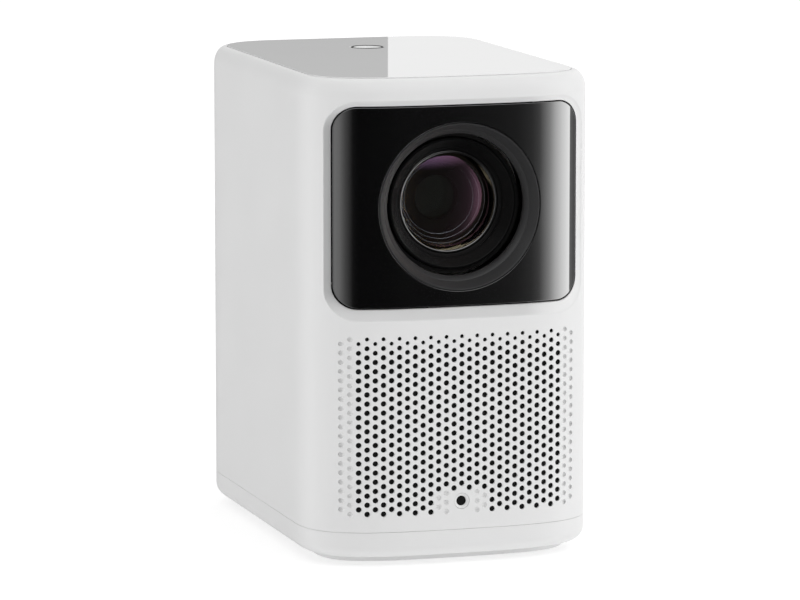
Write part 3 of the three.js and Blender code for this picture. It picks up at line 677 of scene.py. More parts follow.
        slope = unit(towards * 0.8 + np.array([0, -0.75, 0]))
        if depth > DIMPLE_DEPTH:
            edge, deep = ring(radius, HOLE_CHAMFER), ring(radius - 0.03, depth)
            skin.strip(mouth, edge, slope)
            skin.strip(edge, deep, towards)
            skin.strip(deep, inner_mouth, towards)
        else:
            soft, flat_ring = ring(radius * 0.86, depth * 0.8), ring(radius * 0.5, depth)
            middle = skin.add([(x, float(mouth_y.mean()) + depth, z)])[0]
            facing = np.tile([0.0, -1.0, 0.0], (len(circle), 1))
            rim_normals = [outer_normal[i] for i in rim_ids]
            half = unit(towards * 1.5 + np.array([0, -1, 0]))
            rim_normals = unit(np.array(rim_normals) + towards * 1.2)
            skin.strip(mouth, soft, rim_normals, half)
            skin.strip(soft, flat_ring, half, facing)
            for i in range(len(circle)):
                j = (i + 1) % len(circle)
                skin.face([middle, flat_ring[i], flat_ring[j]], [facing[0]] * 3)
            hub = skin.add([tuple(np.mean([skin.points[i] for i in inner_mouth], axis=0))])[0]
            for i in range(len(circle)):
                j = (i + 1) % len(circle)
                skin.face([hub, inner_mouth[j], inner_mouth[i]], [np.array([0.0, 1.0, 0.0])] * 3)

    # Window recess: a small rounded lip, the sloping bevel, a step behind the glass.
    rim_ids = rims[1]
    mouth = [index[i] for i in rim_ids]
    previous, previous_normals = mouth, np.array([outer_normal[i] for i in rim_ids])
    for share, spread, depth, blend in WINDOW_PROFILE:
        loop = np.array(bevel_loop(share, spread))
        y = front_y(loop[:, 0]) + depth + INSET
        ids = skin.add(xyz(loop[:, 0], y, loop[:, 1]))
        side = facing_in(loop)
        face_on = np.array([outer_normal[i] for i in rim_ids])
        softer = np.clip((loop[:, 0] - 30) / 20, 0, 1)
        lean = (blend * (1 - 0.7 * softer))[:, None] if blend < 0.9 else blend
        normals = unit(face_on * (1 - lean) + side * lean)
        skin.strip(previous, ids, previous_normals, normals)
        previous, previous_normals = ids, normals
    skin.strip(previous, [inner_index[i] for i in rim_ids], previous_normals)

    # Sensor opening, rear opening, bottom edge.
    for rim_ids in (rims[3], rims[2]):
        mouth, inner_mouth = [index[i] for i in rim_ids], [inner_index[i] for i in rim_ids]
        loop = np.array([(outer[i][0], outer[i][2]) for i in rim_ids])
        side = facing_in(loop)
        skin.strip(mouth, inner_mouth, side)
    bottom = [i for i in rims[0] if abs(flat[i][1] - rows[0]) < 1e-6]
    edge = [index[i] for i in bottom][:-1]
    inner_edge = [inner_index[i] for i in bottom][:-1]
    around = plan_normal_at(np.array([flat[i][0] for i in bottom][:-1]) + FRONT_MIDDLE)
    flat_around = raised(around, 0.0)
    positions = np.array([skin.points[i] for i in edge])
    lip = positions.copy()
    lip[:, :2] -= around * SEAM_LIP
    lip[:, 2] = SEAM_Z
    lip_ids = skin.add(lip)
    down = np.tile([0.0, 0.0, -1.0], (len(edge), 1))
    skin.strip(lip_ids, edge, down, flat_around)
    skin.strip(inner_edge, lip_ids, down)

    # Top edge: a flat rim, then down beside the top plate to the inner skin.
    top = [i for i in rims[0] if abs(flat[i][1] - rows[-1]) < 1e-6]
    order = [index[i] for i in top][:-1]
    top_arcs = np.array([flat[i][0] for i in top][:-1]) + FRONT_MIDDLE
    plate = plan_at(top_arcs, PLATE_INSET[0] - 0.3, PLATE_INSET[1] - 0.3, PLATE_INSET[2] - 0.3)
    outer_top = plan_at(top_arcs, TOP_ROUND[0])
    up = np.tile([0.0, 0.0, 1.0], (len(order), 1))
    inward = -raised(plan_normal_at(top_arcs), 0.0)
    last, last_normals = order, up
    for share, z, blend in [(0.86, TOP_Z, 0.0), (0.97, TOP_Z - 0.08, 0.6), (1.0, TOP_Z - 0.3, 1.0),
                            (1.0, TOP_Z - PLATE_THICKNESS, 1.0)]:
        xy = outer_top * (1 - share) + plate * share
        ids = skin.add(raised(xy, z))
        normals = unit(up * (1 - blend) + inward * blend)
        skin.strip(ids, last, normals, last_normals)
        last, last_normals = ids, normals
    skin.strip([inner_index[i] for i in top][:-1], last, inward)
    return skin.build("casing_shell", "shell_white", "casing")


# Window recess below the lip: (bevel share, extra spread, depth, how far the normal leans in).
WINDOW_PROFILE = [(1.0, 0.1, 0.05, 0.3), (1.0, 0.0, 0.2, 0.54), (0.93, 0.0, 0.4, 0.6),
                  (0.12, 0.0, 1.5, 0.6), (0.06, 0.0, 1.6, 0.9), (0.04, 0.0, 2.1, 1.0)]


def facing_in(loop):
    """Directions into the opening that an (x, z) loop bounds."""
    outward = loop_normals(loop)
    return xyz(-outward[:, 0], 0.0, -outward[:, 1])


def bevel_loop(share, spread):
    """Outline of the window recess: share 0 is the glass edge, share 1 the outer rim."""
    side, top, bottom = (size * share for size in BEVEL)
    x, z0, z1 = WINDOW_HIGH.x, WINDOW_LOW.z, WINDOW_HIGH.z
    return rounded_loop(-x - side - spread, z0 - bottom - spread, x + side + spread, z1 + top + spread,
                        WINDOW_RADIUS + side + spread, steps=12, counts=(28, 20))


REAR_LOW, REAR_HIGH = (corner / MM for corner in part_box("rear_cover"))
REAR_RADIUS = 10.0


def rear_loop(spread):
    """Outline of the rear cover, counter-clockwise seen from behind."""
    x, z0, z1 = REAR_HIGH.x + spread, REAR_LOW.z - spread, REAR_HIGH.z + spread
    loop = rounded_loop(-x, z0, x, z1, REAR_RADIUS + spread, steps=8, counts=(12, 20))
    return [(-px, z) for px, z in loop]


back_half = np.arange(len(STATIONS))[(BASE_PLAN[:, 1] > 40)]
back_sorted = back_half[np.argsort(BASE_PLAN[back_half, 0])]


def arc_of_back_x(x):
    """Arc length of the back point at a width, counted on beyond the joint line."""
    xs, arcs = BASE_PLAN[back_sorted, 0], ARC[back_sorted]
    return np.interp(x, xs, arcs)


def back_y(x, inset=0.0):
    reach_x, reach_y, power = BACK_CORNER
    across = np.clip((np.abs(x) - (HALF_WIDTH - reach_x)) / (reach_x - inset), 0, 1)
    return HALF_DEPTH - reach_y + (reach_y - inset) * (1 - across ** power) ** (1 / power)


casing = build_casing()
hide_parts("body_shell")

# ---------------------------------------------------------------- front window and lens
def build_window():
    """Glossy black panel: a curved sheet with rounded rims and a round opening."""
    skin = Skin()
    depth, thickness = GLASS_RECESS + INSET, 1.55

    def outline(spread):
        x, z0, z1 = WINDOW_HIGH.x + spread, WINDOW_LOW.z - spread, WINDOW_HIGH.z + spread
        return rounded_loop(-x, z0, x, z1, WINDOW_RADIUS + spread, steps=12, counts=(28, 20))

    def opening(radius):
        return ring_loop(radius, 0, LENS_Z, 96)

    def facing(points):
        x = np.asarray(points)[:, 0]
        slope = (front_y(x + 0.5) - front_y(x - 0.5))
        return unit(xyz(slope, -1.0, 0.0))

    # (drawn in by, behind the face, lean of the normal)
    rim_profile = [(GLASS_INSET + 0.34, 0.0, 0.0), (GLASS_INSET + 0.16, 0.05, 0.3),
                   (GLASS_INSET + 0.04, 0.2, 0.75), (GLASS_INSET, 0.4, 1.0)]
    columns = np.arange(-54, 54.5, 1.5)
    grid = np.array([(x, z) for x in columns for z in np.arange(WINDOW_LOW.z + 2, WINDOW_HIGH.z, 6.0)])
    in_lens = inside(grid, np.array(opening(LENS_OPENING + 1.6)))
    grid = grid[inside(grid, np.array(outline(-1.6))) & ~in_lens]
    drawn = rim_profile[0][0]
    flat, faces, rims = planar_mesh([outline(-drawn), opening(LENS_OPENING + drawn - GLASS_INSET)], grid)
    normal = facing(flat)
    front = skin.add(xyz(flat[:, 0], front_y(flat[:, 0]) + depth, flat[:, 1]))
    back = skin.add(xyz(flat[:, 0], front_y(flat[:, 0]) + depth + thickness, flat[:, 1]))
    for face in faces:
        skin.face([front[i] for i in face], [normal[i] for i in face])
        skin.face([back[i] for i in face][::-1], [-normal[i] for i in face])
    for rim, shape, direction in ((rims[0], outline, 1), (rims[1], opening, -1)):
        previous = [front[i] for i in rim]
        previous_normals = normal[rim]
        for drawn, behind, lean in rim_profile[1:] + [(GLASS_INSET, thickness - 0.1, 1.0)]:
            loop = np.array(shape(-drawn) if direction > 0 else shape(LENS_OPENING + drawn - GLASS_INSET))
            outward = loop_normals(loop) * direction
            ids = skin.add(xyz(loop[:, 0], front_y(loop[:, 0]) + depth + behind, loop[:, 1]))
            side = xyz(outward[:, 0], 0.0, outward[:, 1])
            normals = unit(facing(loop) * (1 - lean) + side * lean)
            pair = [(ids, normals), (previous, previous_normals)][::direction]
            skin.strip(pair[0][0], pair[1][0], pair[0][1], pair[1][1])
            previous, previous_normals = ids, normals
        last = [back[i] for i in rim]
        skin.strip(*[last, previous][::direction], previous_normals)
    return skin.build("window_glass", "window_black", "casing")


window = build_window()
face_outwards(window)
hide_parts("window_panel")


def on_panel(offset):
    """Marks a profile depth that follows the curved window panel, this far behind the front."""
    return (offset,)


TUBE_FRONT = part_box("focus_tube")[0].y / MM
TUBE_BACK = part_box("focus_tube")[1].y / MM
BEZEL_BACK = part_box("lens_bezel")[1].y / MM

bezel = turned("lens_cone", [
    (30.8, BEZEL_BACK), (30.8, -86.4), (31.0, -86.9), (32.6, -88.6), (32.75, -88.65), (32.95, -88.9),
    (35.25, on_panel(1.75)), (35.45, on_panel(1.5)), (35.65, on_panel(1.42)), (35.85, on_panel(1.44)),
    (35.98, on_panel(1.6)), (36.0, on_panel(1.9)), (36.0, on_panel(3.3)), (39.4, on_panel(3.3)),
    (39.4, BEZEL_BACK)], "bezel_grey", "casing", steps=144, front=front_y)
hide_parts("lens_bezel")


def ridged(start, end, count, rise):
    """Fine concentric steps between two profile points."""
    rows = []
    for i in range(count):
        for share, lift in ((0.08, 0.0), (0.5, rise), (0.92, 0.0)):
            t = (i + share) / count
            rows.append((start[0] + (end[0] - start[0]) * t, start[1] + (end[1] - start[1]) * t - lift))
    return rows


barrel = turned("focus_barrel", [
    (17.6, TUBE_BACK), (28.4, TUBE_BACK), (28.5, TUBE_BACK - 0.2), (28.5, TUBE_FRONT + 0.5),
    (28.35, TUBE_FRONT + 0.15), (28.05, TUBE_FRONT + 0.02), (27.6, TUBE_FRONT + 0.05),
    *ridged((27.4, TUBE_FRONT + 0.25), (24.2, TUBE_FRONT + 4.2), 9, 0.10),
    (24.1, TUBE_FRONT + 4.4), (23.9, TUBE_FRONT + 4.5), (23.7, TUBE_FRONT + 4.5),
    *ridged((23.6, TUBE_FRONT + 4.8), (22.9, TUBE_FRONT + 5.6), 2, 0.08),
    (22.7, TUBE_FRONT + 5.7), (22.5, TUBE_FRONT + 5.9), (22.4, TUBE_FRONT + 6.3),
    (22.4, -66.4), (19.0, -66.4), (18.7, -66.2), (14.2, -60.7), (14.0, -60.3), (14.0, -58.3), (17.6, -58.3)],
    "barrel_black", "focus_group", steps=144)
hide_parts("focus_tube")


def surface_rows(rim, rim_y, bow, steps=14):
    """Profile of a lens face from its middle to its rim; bow is how far the middle stands out."""
    sphere = (rim ** 2 + bow ** 2) / (2 * abs(bow))
    rows = []
    for i in range(steps + 1):
        r = rim * i / steps
        sag = sphere - math.sqrt(sphere ** 2 - r ** 2)
        rows.append((r, rim_y - math.copysign(abs(bow) - sag, bow)))
    return rows


def lens(name, node, material, rim, front, front_bow, back, back_bow):
    piece = turned(name, surface_rows(rim, front, front_bow) + surface_rows(rim, back, back_bow)[::-1],
                   material, "focus_group", steps=96, smooth=35)
    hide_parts(node)
    return piece


lens("front_glass_element", "front_element", "front_coating", 22.1, -73.0, 4.4, -66.7, 1.8)
lens("middle_glass_element", "middle_element", "inner_coating", 17.3, -55.0, 1.1, -53.0, 0.6)
lens("rear_glass_element", "rear_element", "inner_coating", 17.3, -49.0, 1.6, -48.0, 0.4)
RING_DEPTH = -65.6 - TUBE_FRONT      # the first ring inside the tube, behind its front
for name, radius, depth in (("barrel_trim", 27.9, 0.06), ("retaining_ring", 21.75, 6.3),
                            ("inner_ring_1", 18.1, RING_DEPTH), ("inner_ring_2", 16.2, RING_DEPTH + 2.4),
                            ("inner_ring_3", 14.3, RING_DEPTH + 4.7)):
    half = {"barrel_trim": 0.22, "retaining_ring": 0.62}.get(name, 0.34)
    bead = [(radius - half * math.cos(turn), TUBE_FRONT + depth + 0.3 - half * 0.8 * math.sin(turn))
            for turn in np.linspace(0, math.pi, 11)]
    turned(name, [(radius - half, TUBE_FRONT + depth + 0.9), *bead, (radius + half, TUBE_FRONT + depth + 0.9)],
           "polished_black", "focus_group", steps=144, smooth=60)
iris = turned("iris_ring", [
    (8.5, -57.9), (8.6, -58.0), (17.3, -58.0), (17.3, -57.0), (9.2, -57.0), (8.5, -57.6)],
              "lens_black", "focus_group")
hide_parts("aperture_ring")

# ---------------------------------------------------------------- front sensor
sensor_ring = turned("sensor_ring", [
    (3.42, -93.2), (3.42, -95.6), (3.3, -95.74), (3.15, -95.76), (2.95, -95.7), (2.3, -95.1), (2.15, -94.9),
    (2.1, -93.2)], "shell_white", "casing", z=SENSOR_Z, steps=48)
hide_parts("sensor_bezel")
plastic("camera_glass", (0.004, 0.005, 0.012), 0.2, 0.05, 300, 0.02, ior=1.9)
sensor_lens = turned("sensor_lens", [
    (0, -94.62), (0.5, -94.6), (1.0, -94.5), (1.4, -94.28), (1.75, -93.98), (2.0, -93.6),
    (2.0, -92.7), (0, -92.7)],
    "camera_glass", "casing", z=SENSOR_Z, steps=48)
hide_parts("camera_lens")

# ---------------------------------------------------------------- acoustic cloth behind the grille
def build_cloth():
    skin = Skin()
    columns = np.linspace(-51, 51, 69)
    rows = np.linspace(20.5, 103.5, 12)
    near, far = [], []
    for z in rows:
        y = front_y(columns) + INSET + GRILLE_WALL + 0.12
        near.append(skin.add(xyz(columns, y, z)))
        far.append(skin.add(xyz(columns, y + 0.4, z)))
    for lower, upper in zip(near, near[1:]):
        skin.strip(lower, upper, closed=False)
    for lower, upper in zip(far, far[1:]):
        skin.strip(upper, lower, closed=False)
    skin.strip(far[0], near[0], closed=False)
    skin.strip(near[-1], far[-1], closed=False)
    for side, order in ((0, 1), (-1, -1)):
        ends = [[row[side] for row in near], [row[side] for row in far]]
        skin.strip(*ends[::order], closed=False)
    return skin.build("grille_cloth", "acoustic_cloth", "casing", smooth_angle=30)


build_cloth()

# ---------------------------------------------------------------- top plate and button
BUTTON_LOW, BUTTON_HIGH = (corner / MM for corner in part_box("power_button"))
BUTTON_Y = (BUTTON_LOW.y + BUTTON_HIGH.y) / 2
even_arcs = np.linspace(0, PERIMETER, 361)[:-1]

plate_plan = plan_at(even_arcs, *PLATE_INSET)
top_plate = slab("top_plate_gloss", [plate_plan, ring_loop(7.6, 0, BUTTON_Y, 96)],
                 HEIGHT - PLATE_THICKNESS, HEIGHT - PLATE_DROP, "gloss_white", "casing",
                 round_top=0.35, smooth=10)
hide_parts("top_plate")


def turned_up(name, profile, material, body, x=0.0, y=0.0, steps=96, smooth=28):
    """Turned piece about an upright axis; each profile point is (radius, z)."""
    piece = turned(name, [(radius, -z) for radius, z in profile], material, body, 0, 0, steps, smooth)
    for vertex in piece.data.vertices:
        px, py, pz = vertex.co
        vertex.co = (px + x * MM, pz + y * MM, -py)
    piece.data.update()
    face_outwards(piece)
    return piece


button_top = BUTTON_HIGH.z
button = turned_up("button_cap", [
    (0, button_top - 0.28), (2.5, button_top - 0.26), (4.5, button_top - 0.18), (5.8, button_top - 0.06),
    (6.2, button_top - 0.03), (6.45, button_top - 0.12), (6.55, button_top - 0.35),
    (6.55, BUTTON_LOW.z + 1.7), (8.9, BUTTON_LOW.z + 1.6), (8.9, BUTTON_LOW.z), (0, BUTTON_LOW.z)],
    "button_white", "button", y=BUTTON_Y)
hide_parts("power_button")
ring_top = HEIGHT - 0.01
ring_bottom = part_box("button_light_ring")[0].z / MM
ring = turned_up("button_ring", [
    (6.86, ring_bottom), (6.86, ring_top - 0.15), (6.94, ring_top - 0.05), (7.1, ring_top),
    (7.26, ring_top - 0.05), (7.34, ring_top - 0.15), (7.34, ring_bottom)],
    "black_plastic", "casing", y=BUTTON_Y)
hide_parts("button_light_ring")

# ---------------------------------------------------------------- base
def lofted(name, rows, material, body, smooth=35):
    """Closed stack of plan outlines, each given as (inset, z); both ends are flat."""
    skin = Skin()
    loops = []
    for inset, z in rows:
        xy = plan_at(even_arcs, inset)
        loops.append(skin.add(raised(xy, z)))
    for lower, upper in zip(loops, loops[1:]):
        skin.strip(lower, upper)
    skin.face(loops[0][::-1])
    skin.face(loops[-1])
    piece = skin.build(name, material, body, smooth_angle=smooth)
    face_outwards(piece)
    return piece


TRAY_LOW, TRAY_HIGH = (corner.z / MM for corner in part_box("base_tray"))
round_base = [(INSET + 6 * (1 - math.sin(a)), TRAY_LOW + 6 * (1 - math.cos(a)))
              for a in np.linspace(0, math.pi / 2, 9)]
tray = lofted("base_skin", round_base + [
    (INSET, SEAM_Z - SEAM_GAP - SEAM_LIP), (INSET + SEAM_LIP, SEAM_Z - SEAM_GAP), (2.4, SEAM_Z - SEAM_GAP),
    (2.6, TRAY_HIGH - 4), (8.4, TRAY_LOW + 3.2)], "shell_white", "casing")
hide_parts("base_tray")

PLATE_LOW, PLATE_HIGH = (corner.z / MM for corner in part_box("foot_plate"))
foot_holes = []
for index in range(1, 5):
    for part, radius in ((f"rubber_foot_{index}", 6.8), (f"base_screw_{index}", 3.4)):
        low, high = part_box(part)
        foot_holes.append(ring_loop(radius, (low.x + high.x) / 2 / MM, (low.y + high.y) / 2 / MM, 32))
foot_holes.append(ring_loop(6.4, 0, 0, 32))
foot_plate = slab("foot_plate_skin", [plan_at(even_arcs, 9.1)] + foot_holes, PLATE_LOW, PLATE_HIGH,
                  "shell_white", "casing", round_bottom=0.4)
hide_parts("foot_plate")

for index in range(1, 5):
    low, high = (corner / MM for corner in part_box(f"rubber_foot_{index}"))
    foot = turned_up(f"foot_pad_{index}", [
        (0, 0.25), (4.6, 0.25), (4.9, 0.05), (5.2, 0.0), (6.0, 0.0), (6.35, 0.12), (6.5, 0.45),
        (6.5, high.z - 0.1), (6.4, high.z), (0, high.z)], "foot_rubber", "casing",
        (low.x + high.x) / 2, (low.y + high.y) / 2, steps=48)
    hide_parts(f"rubber_foot_{index}")

# ---------------------------------------------------------------- rear cover
SLOT_COLUMNS, SLOT_WIDTH, SLOT_HEIGHT, SLOT_PITCH = (-22, 22), 38.0, 3.2, 7.6
SLOT_GROUPS = ((68, 4), (113, 10))
BAY = dict(half_width=45.0, bottom=28.0, top=54.0, floor=90.5, radius=3.0)
REAR_SKIN = 2.3


def slot_loop(x, z, width=SLOT_WIDTH, height=SLOT_HEIGHT, radius=None):
    """Rounded slot, counter-clockwise seen from behind, as (-x, z)."""
    radius = height * 0.49 if radius is None else radius
    return rounded_loop(x - width / 2, z - height / 2, x + width / 2, z + height / 2, radius, steps=5,
                        counts=(10, 1))


def build_rear():
    """Rear cover: curved sheet with slots, and a sunk bay whose floor holds the sockets."""
    skin = Skin()

    def outline(drawn):
        return rounded_loop(-REAR_HIGH.x + drawn, REAR_LOW.z + drawn, REAR_HIGH.x - drawn, REAR_HIGH.z - drawn,
                            REAR_RADIUS - drawn, steps=8, counts=(24, 26))

    def bay_loop(spread=0.0):
        return rounded_loop(-BAY["half_width"] - spread, BAY["bottom"] - spread, BAY["half_width"] + spread,
                            BAY["top"] + spread, BAY["radius"] + spread, steps=5, counts=(24, 4))

    # Everything is laid out as seen from behind: u = -x.
    slots = [slot_loop(-x, z0 + row * SLOT_PITCH) for z0, rows in SLOT_GROUPS
             for x in SLOT_COLUMNS for row in range(rows)]
    grid = np.array([(u, z) for u in np.arange(-48, 48.5, 2.0)
                     for z in np.arange(REAR_LOW.z + 3, REAR_HIGH.z, SLOT_PITCH)])
    use = inside(grid, np.array(outline(1.8))) & ~inside(grid, np.array(bay_loop(1.5)))
    for loop in slots:
        x0, z0 = np.min(loop, 0) - 1.0
        x1, z1 = np.max(loop, 0) + 1.0
        use &= ~((grid[:, 0] > x0) & (grid[:, 0] < x1) & (grid[:, 1] > z0) & (grid[:, 1] < z1))
    flat, faces, rims = planar_mesh([outline(0.35), bay_loop(0.3)] + slots, grid[use])

    def depth(u, behind=0.0):
        return back_y(u) - INSET - behind

    def facing(u):
        slope = back_y(np.asarray(u) + 0.5) - back_y(np.asarray(u) - 0.5)
        return unit(xyz(slope, 1.0, 0.0))

    normal = facing(flat[:, 0])
    outer = skin.add(xyz(-flat[:, 0], depth(flat[:, 0]), flat[:, 1]))
    inner = skin.add(xyz(-flat[:, 0], depth(flat[:, 0], REAR_SKIN), flat[:, 1]))
    for face in faces:
        skin.face([outer[i] for i in face], [normal[i] for i in face])
        skin.face([inner[i] for i in face][::-1], [-normal[i] for i in face])

    def loop_side(loop, sign):
        outward = loop_normals(np.array(loop)) * sign
        return xyz(-outward[:, 0], 0.0, outward[:, 1])

    def edge(loop, behind):
        loop = np.array(loop)
        return skin.add(xyz(-loop[:, 0], depth(loop[:, 0], behind), loop[:, 1]))

    # Slots: a small chamfer, then straight through.
    for rim, loop in zip(rims[2:], slots):
        mouth = [outer[i] for i in rim]
        side = loop_side(loop, -1)
        small = np.array(loop) - loop_normals(np.array(loop)) * 0.25
        lip = edge(small, 0.25)
        slope = unit(side + normal[rim])
        skin.strip(mouth, lip, slope)
        back_lip = edge(small, REAR_SKIN - 0.05)
        skin.strip(lip, back_lip, side)
        skin.strip(back_lip, [inner[i] for i in rim], side)

    # Rim of the cover.
    mouth, side = [outer[i] for i in rims[0]], loop_side(outline(0), 1)
    soft = edge(outline(0.1), 0.1)
    skin.strip(soft, mouth, unit(side + normal[rims[0]]), normal[rims[0]])
    straight = edge(outline(0.02), 0.4)
    skin.strip(straight, soft, side, unit(side + normal[rims[0]]))
    skin.strip([inner[i] for i in rims[0]], straight, side)

    # Bay: rounded mouth, walls and a flat floor with the sockets' openings.
    floor_y = BAY["floor"]
    side = loop_side(bay_loop(), -1)
    mouth = [outer[i] for i in rims[1]]
    lip = edge(bay_loop(0.08), 0.12)
    skin.strip(mouth, lip, normal[rims[1]], unit(side + normal[rims[1]]))
    top_wall = edge(bay_loop(0.0), 0.4)
    skin.strip(lip, top_wall, unit(side + normal[rims[1]]), side)
    ports = port_loops()
    floor_flat, floor_faces, floor_rims = planar_mesh([bay_loop(0.0)] + ports)
    back = np.array([0.0, 1.0, 0.0])
    floor = skin.add(xyz(-floor_flat[:, 0], floor_y, floor_flat[:, 1]))
    under = skin.add(xyz(-floor_flat[:, 0], floor_y - 2.2, floor_flat[:, 1]))
    for face in floor_faces:
        skin.face([floor[i] for i in face], [back] * 3)
        skin.face([under[i] for i in face][::-1], [-back] * 3)
    skin.strip(top_wall, [floor[i] for i in floor_rims[0]], side)
    for rim, loop in zip(floor_rims[1:], ports):
        port_side = loop_side(loop, -1)
        skin.strip([floor[i] for i in rim], [under[i] for i in rim], port_side)
    # Outside of the bay's wall, inside the casing.
    outer_wall = -side
    wide = bay_loop(2.2)
    sleeve_low = skin.add([(-u, floor_y - 2.2, z) for u, z in wide])
    sleeve_top = edge(wide, REAR_SKIN)
    skin.strip([under[i] for i in floor_rims[0]], sleeve_low, np.tile(-back, (len(wide), 1)),
               np.tile(-back, (len(wide), 1)))
    skin.strip(sleeve_low, sleeve_top, outer_wall)
    skin.strip(sleeve_top, [inner[i] for i in rims[1]], outer_wall)
    return skin.build("rear_cover_skin", "shell_white", "casing")


def port_loops():
    """Openings in the bay's floor, seen from behind (u = -x), around the CAD sockets."""
    loops = []
    for node, spread in (("hdmi_socket", 0.25), ("usb_socket", 0.25)):
        low, high = (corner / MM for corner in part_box(node))
        loops.append(rounded_loop(-high.x - spread, low.z - spread, -low.x + spread, high.z + spread, 1.2,
                                  steps=4, counts=(1, 1)))
    low, high = (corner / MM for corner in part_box("headphone_socket"))
    loops.append(ring_loop(3.3, -(low.x + high.x) / 2, (low.z + high.z) / 2, 40))
    low, high = (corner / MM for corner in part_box("mains_inlet"))
    loops.append(rounded_loop(-high.x - 0.2, low.z - 0.2, -low.x + 0.2, high.z + 0.2, 3.0, steps=6,
                              counts=(1, 1)))
    return loops


rear = build_rear()
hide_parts("rear_cover")

# ---------------------------------------------------------------- carried-over CAD nodes
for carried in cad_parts.values():
    for slot in carried.material_slots:
        finish = slot.material.name.split(".")[0]
        if finish in LOOKS:
            slot.material = LOOKS[finish]

# ---------------------------------------------------------------- stage, light and camera
AIM = Vector((-4.25, -19.97, 104.62)) * MM
AZIMUTH, ELEVATION = math.radians(-17.31), math.radians(8.46)
DISTANCE = 2.2
FOCAL_PIXELS, IMAGE_WIDTH = 4970.0, 800


def add_camera():
    data = bpy.data.cameras.new("camera")
    data.sensor_width = 36
    data.lens = FOCAL_PIXELS / IMAGE_WIDTH * data.sensor_width
    data.clip_start, data.clip_end = 0.05, 50
    camera = bpy.data.objects.new("camera", data)
    back = Vector((math.sin(AZIMUTH) * math.cos(ELEVATION), -math.cos(AZIMUTH) * math.cos(ELEVATION),
                   math.sin(ELEVATION)))
    camera.location = AIM + back * DISTANCE
    camera.rotation_euler = (-back).to_track_quat("-Z", "Y").to_euler()
    bpy.context.scene.collection.objects.link(camera)
    bpy.context.scene.camera = camera


add_camera()
bpy.context.scene.view_settings.view_transform = "Standard"

# Brightness of the studio around the object: degrees from straight ahead (-Y) towards +X, level.
# It is dark in front, with a large soft box on the right and weaker light on the left and behind.
STUDIO = [
    (-180, 0.1), (-163, 0.1), (-150, 0.3), (-131, 0.4), (-126, 1.5), (-104, 1.5), (-98, 0.5), (-62, 0.3),
    (-56, 0.7), (-48, 0.6), (-38, 0.26), (-28, 0.03), (-22, 0.01), (0, 0.012), (16, 0.02), (27, 0.055),
    (34, 0.11), (39, 0.22), (43, 0.54), (48, 0.96), (55, 1.85), (64, 2.7), (79.6, 3.7), (80.2, 0.55),
    (97, 0.16), (100, 1.0), (148, 1.0), (151, 0.9), (180, 0.9)]
STUDIO_PEAK = 3.7
# The studio ends in a sharp edge behind the object, seen in the glossy top.
EDGE_DEGREES, EDGE_DIM = 162.83, 0.33
# Above the level band the light is broad, and stronger towards the front right.
UPPER_DIM, UPPER_BRIGHT = 0.76, 1.42
UPPER_SIDE = (0.62, -0.78, 0.0)
UPPER_START, UPPER_FULL = 0.34, 0.56     # sines of the elevations


def mixed(tree, factor, first, second):
    """Colour output of a mix; second may be a fixed colour."""
    return node(tree, "Mix", ("Factor", factor), (6, first), (7, second), data_type="RGBA").outputs[2]


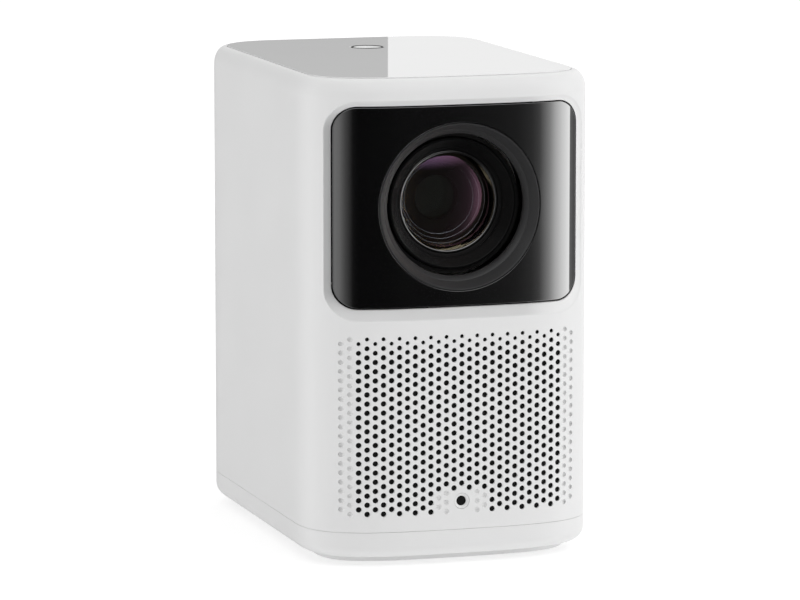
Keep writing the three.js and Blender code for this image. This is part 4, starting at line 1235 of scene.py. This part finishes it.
def build_world():
    world = bpy.data.worlds.new("studio")
    bpy.context.scene.world = world
    world.use_nodes = True
    tree = world.node_tree
    place = node(tree, "TexCoord").outputs["Generated"]
    split = node(tree, "SeparateXYZ", ("Vector", place)).outputs
    back = node(tree, "Math", (0, split["Y"]), (1, -1), operation="MULTIPLY").outputs[0]
    turn = node(tree, "Math", (0, split["X"]), (1, back), operation="ARCTAN2").outputs[0]
    share = node(tree, "MapRange", ("Value", turn), ("From Min", -math.pi), ("From Max", math.pi))
    ramp = node(tree, "ValToRGB", ("Fac", share.outputs["Result"]))
    stops = ramp.color_ramp.elements
    while len(stops) > 1:
        stops.remove(stops[-1])
    for number, (degrees, level) in enumerate(STUDIO):
        position, value = (degrees + 180) / 360, level / STUDIO_PEAK
        stop = stops[0] if number == 0 else stops.new(position)
        stop.position, stop.color = position, (value, value, value, 1)
    scaled = node(tree, "VectorMath", (0, ramp.outputs["Color"]), ("Scale", STUDIO_PEAK), operation="SCALE")
    beyond = node(tree, "Math", (0, turn), (1, math.radians(EDGE_DEGREES)), operation="GREATER_THAN")
    dimming = node(tree, "MapRange", ("Value", beyond.outputs[0]), ("To Min", 1.0), ("To Max", EDGE_DIM))
    band = node(tree, "VectorMath", (0, scaled.outputs["Vector"]), ("Scale", dimming.outputs["Result"]),
                operation="SCALE")
    side = node(tree, "VectorMath", (0, place), (1, UPPER_SIDE), operation="DOT_PRODUCT")
    level = node(tree, "MapRange", ("Value", side.outputs["Value"]), ("From Min", -1), ("To Min", UPPER_DIM),
                 ("To Max", UPPER_BRIGHT))
    reach = node(tree, "MapRange", ("Value", split["Z"]), ("From Min", UPPER_START), ("From Max", UPPER_FULL),
                 interpolation_type="SMOOTHSTEP")
    above = mixed(tree, reach.outputs["Result"], band.outputs["Vector"], level.outputs["Result"])
    # The camera itself sees pure white behind the object.
    seen = mixed(tree, node(tree, "LightPath").outputs["Is Camera Ray"], above, (1, 1, 1, 1))
    background = tree.nodes["Background"]
    background.inputs["Strength"].default_value = 1.0
    tree.links.new(seen, background.inputs["Color"])


build_world()


def build_floor():
    """Pale floor; reflections look through it to the studio, which stays as drawn above."""
    mesh = bpy.data.meshes.new("floor")
    reach = 6.0
    mesh.from_pydata([(-reach, -reach, 0), (reach, -reach, 0), (reach, reach, 0), (-reach, reach, 0)], [],
                     [(0, 1, 2, 3)])
    material, tree, shader = new_material("floor")
    for socket, value in (("Base Color", (0.62, 0.62, 0.62, 1)), ("Roughness", 0.9),
                          ("Specular IOR Level", 0.0), ("Emission Color", (1, 1, 1, 1)),
                          ("Emission Strength", 0.5)):
        shader.inputs[socket].default_value = value
    glossy = node(tree, "LightPath").outputs["Is Glossy Ray"]
    clear = node(tree, "BsdfTransparent").outputs[0]
    mix = node(tree, "MixShader", (0, glossy), (1, shader.outputs[0]), (2, clear))
    tree.links.new(mix.outputs[0], tree.nodes["Material Output"].inputs["Surface"])
    mesh.materials.append(material)
    floor = bpy.data.objects.new("floor", mesh)
    bpy.context.scene.collection.objects.link(floor)


build_floor()
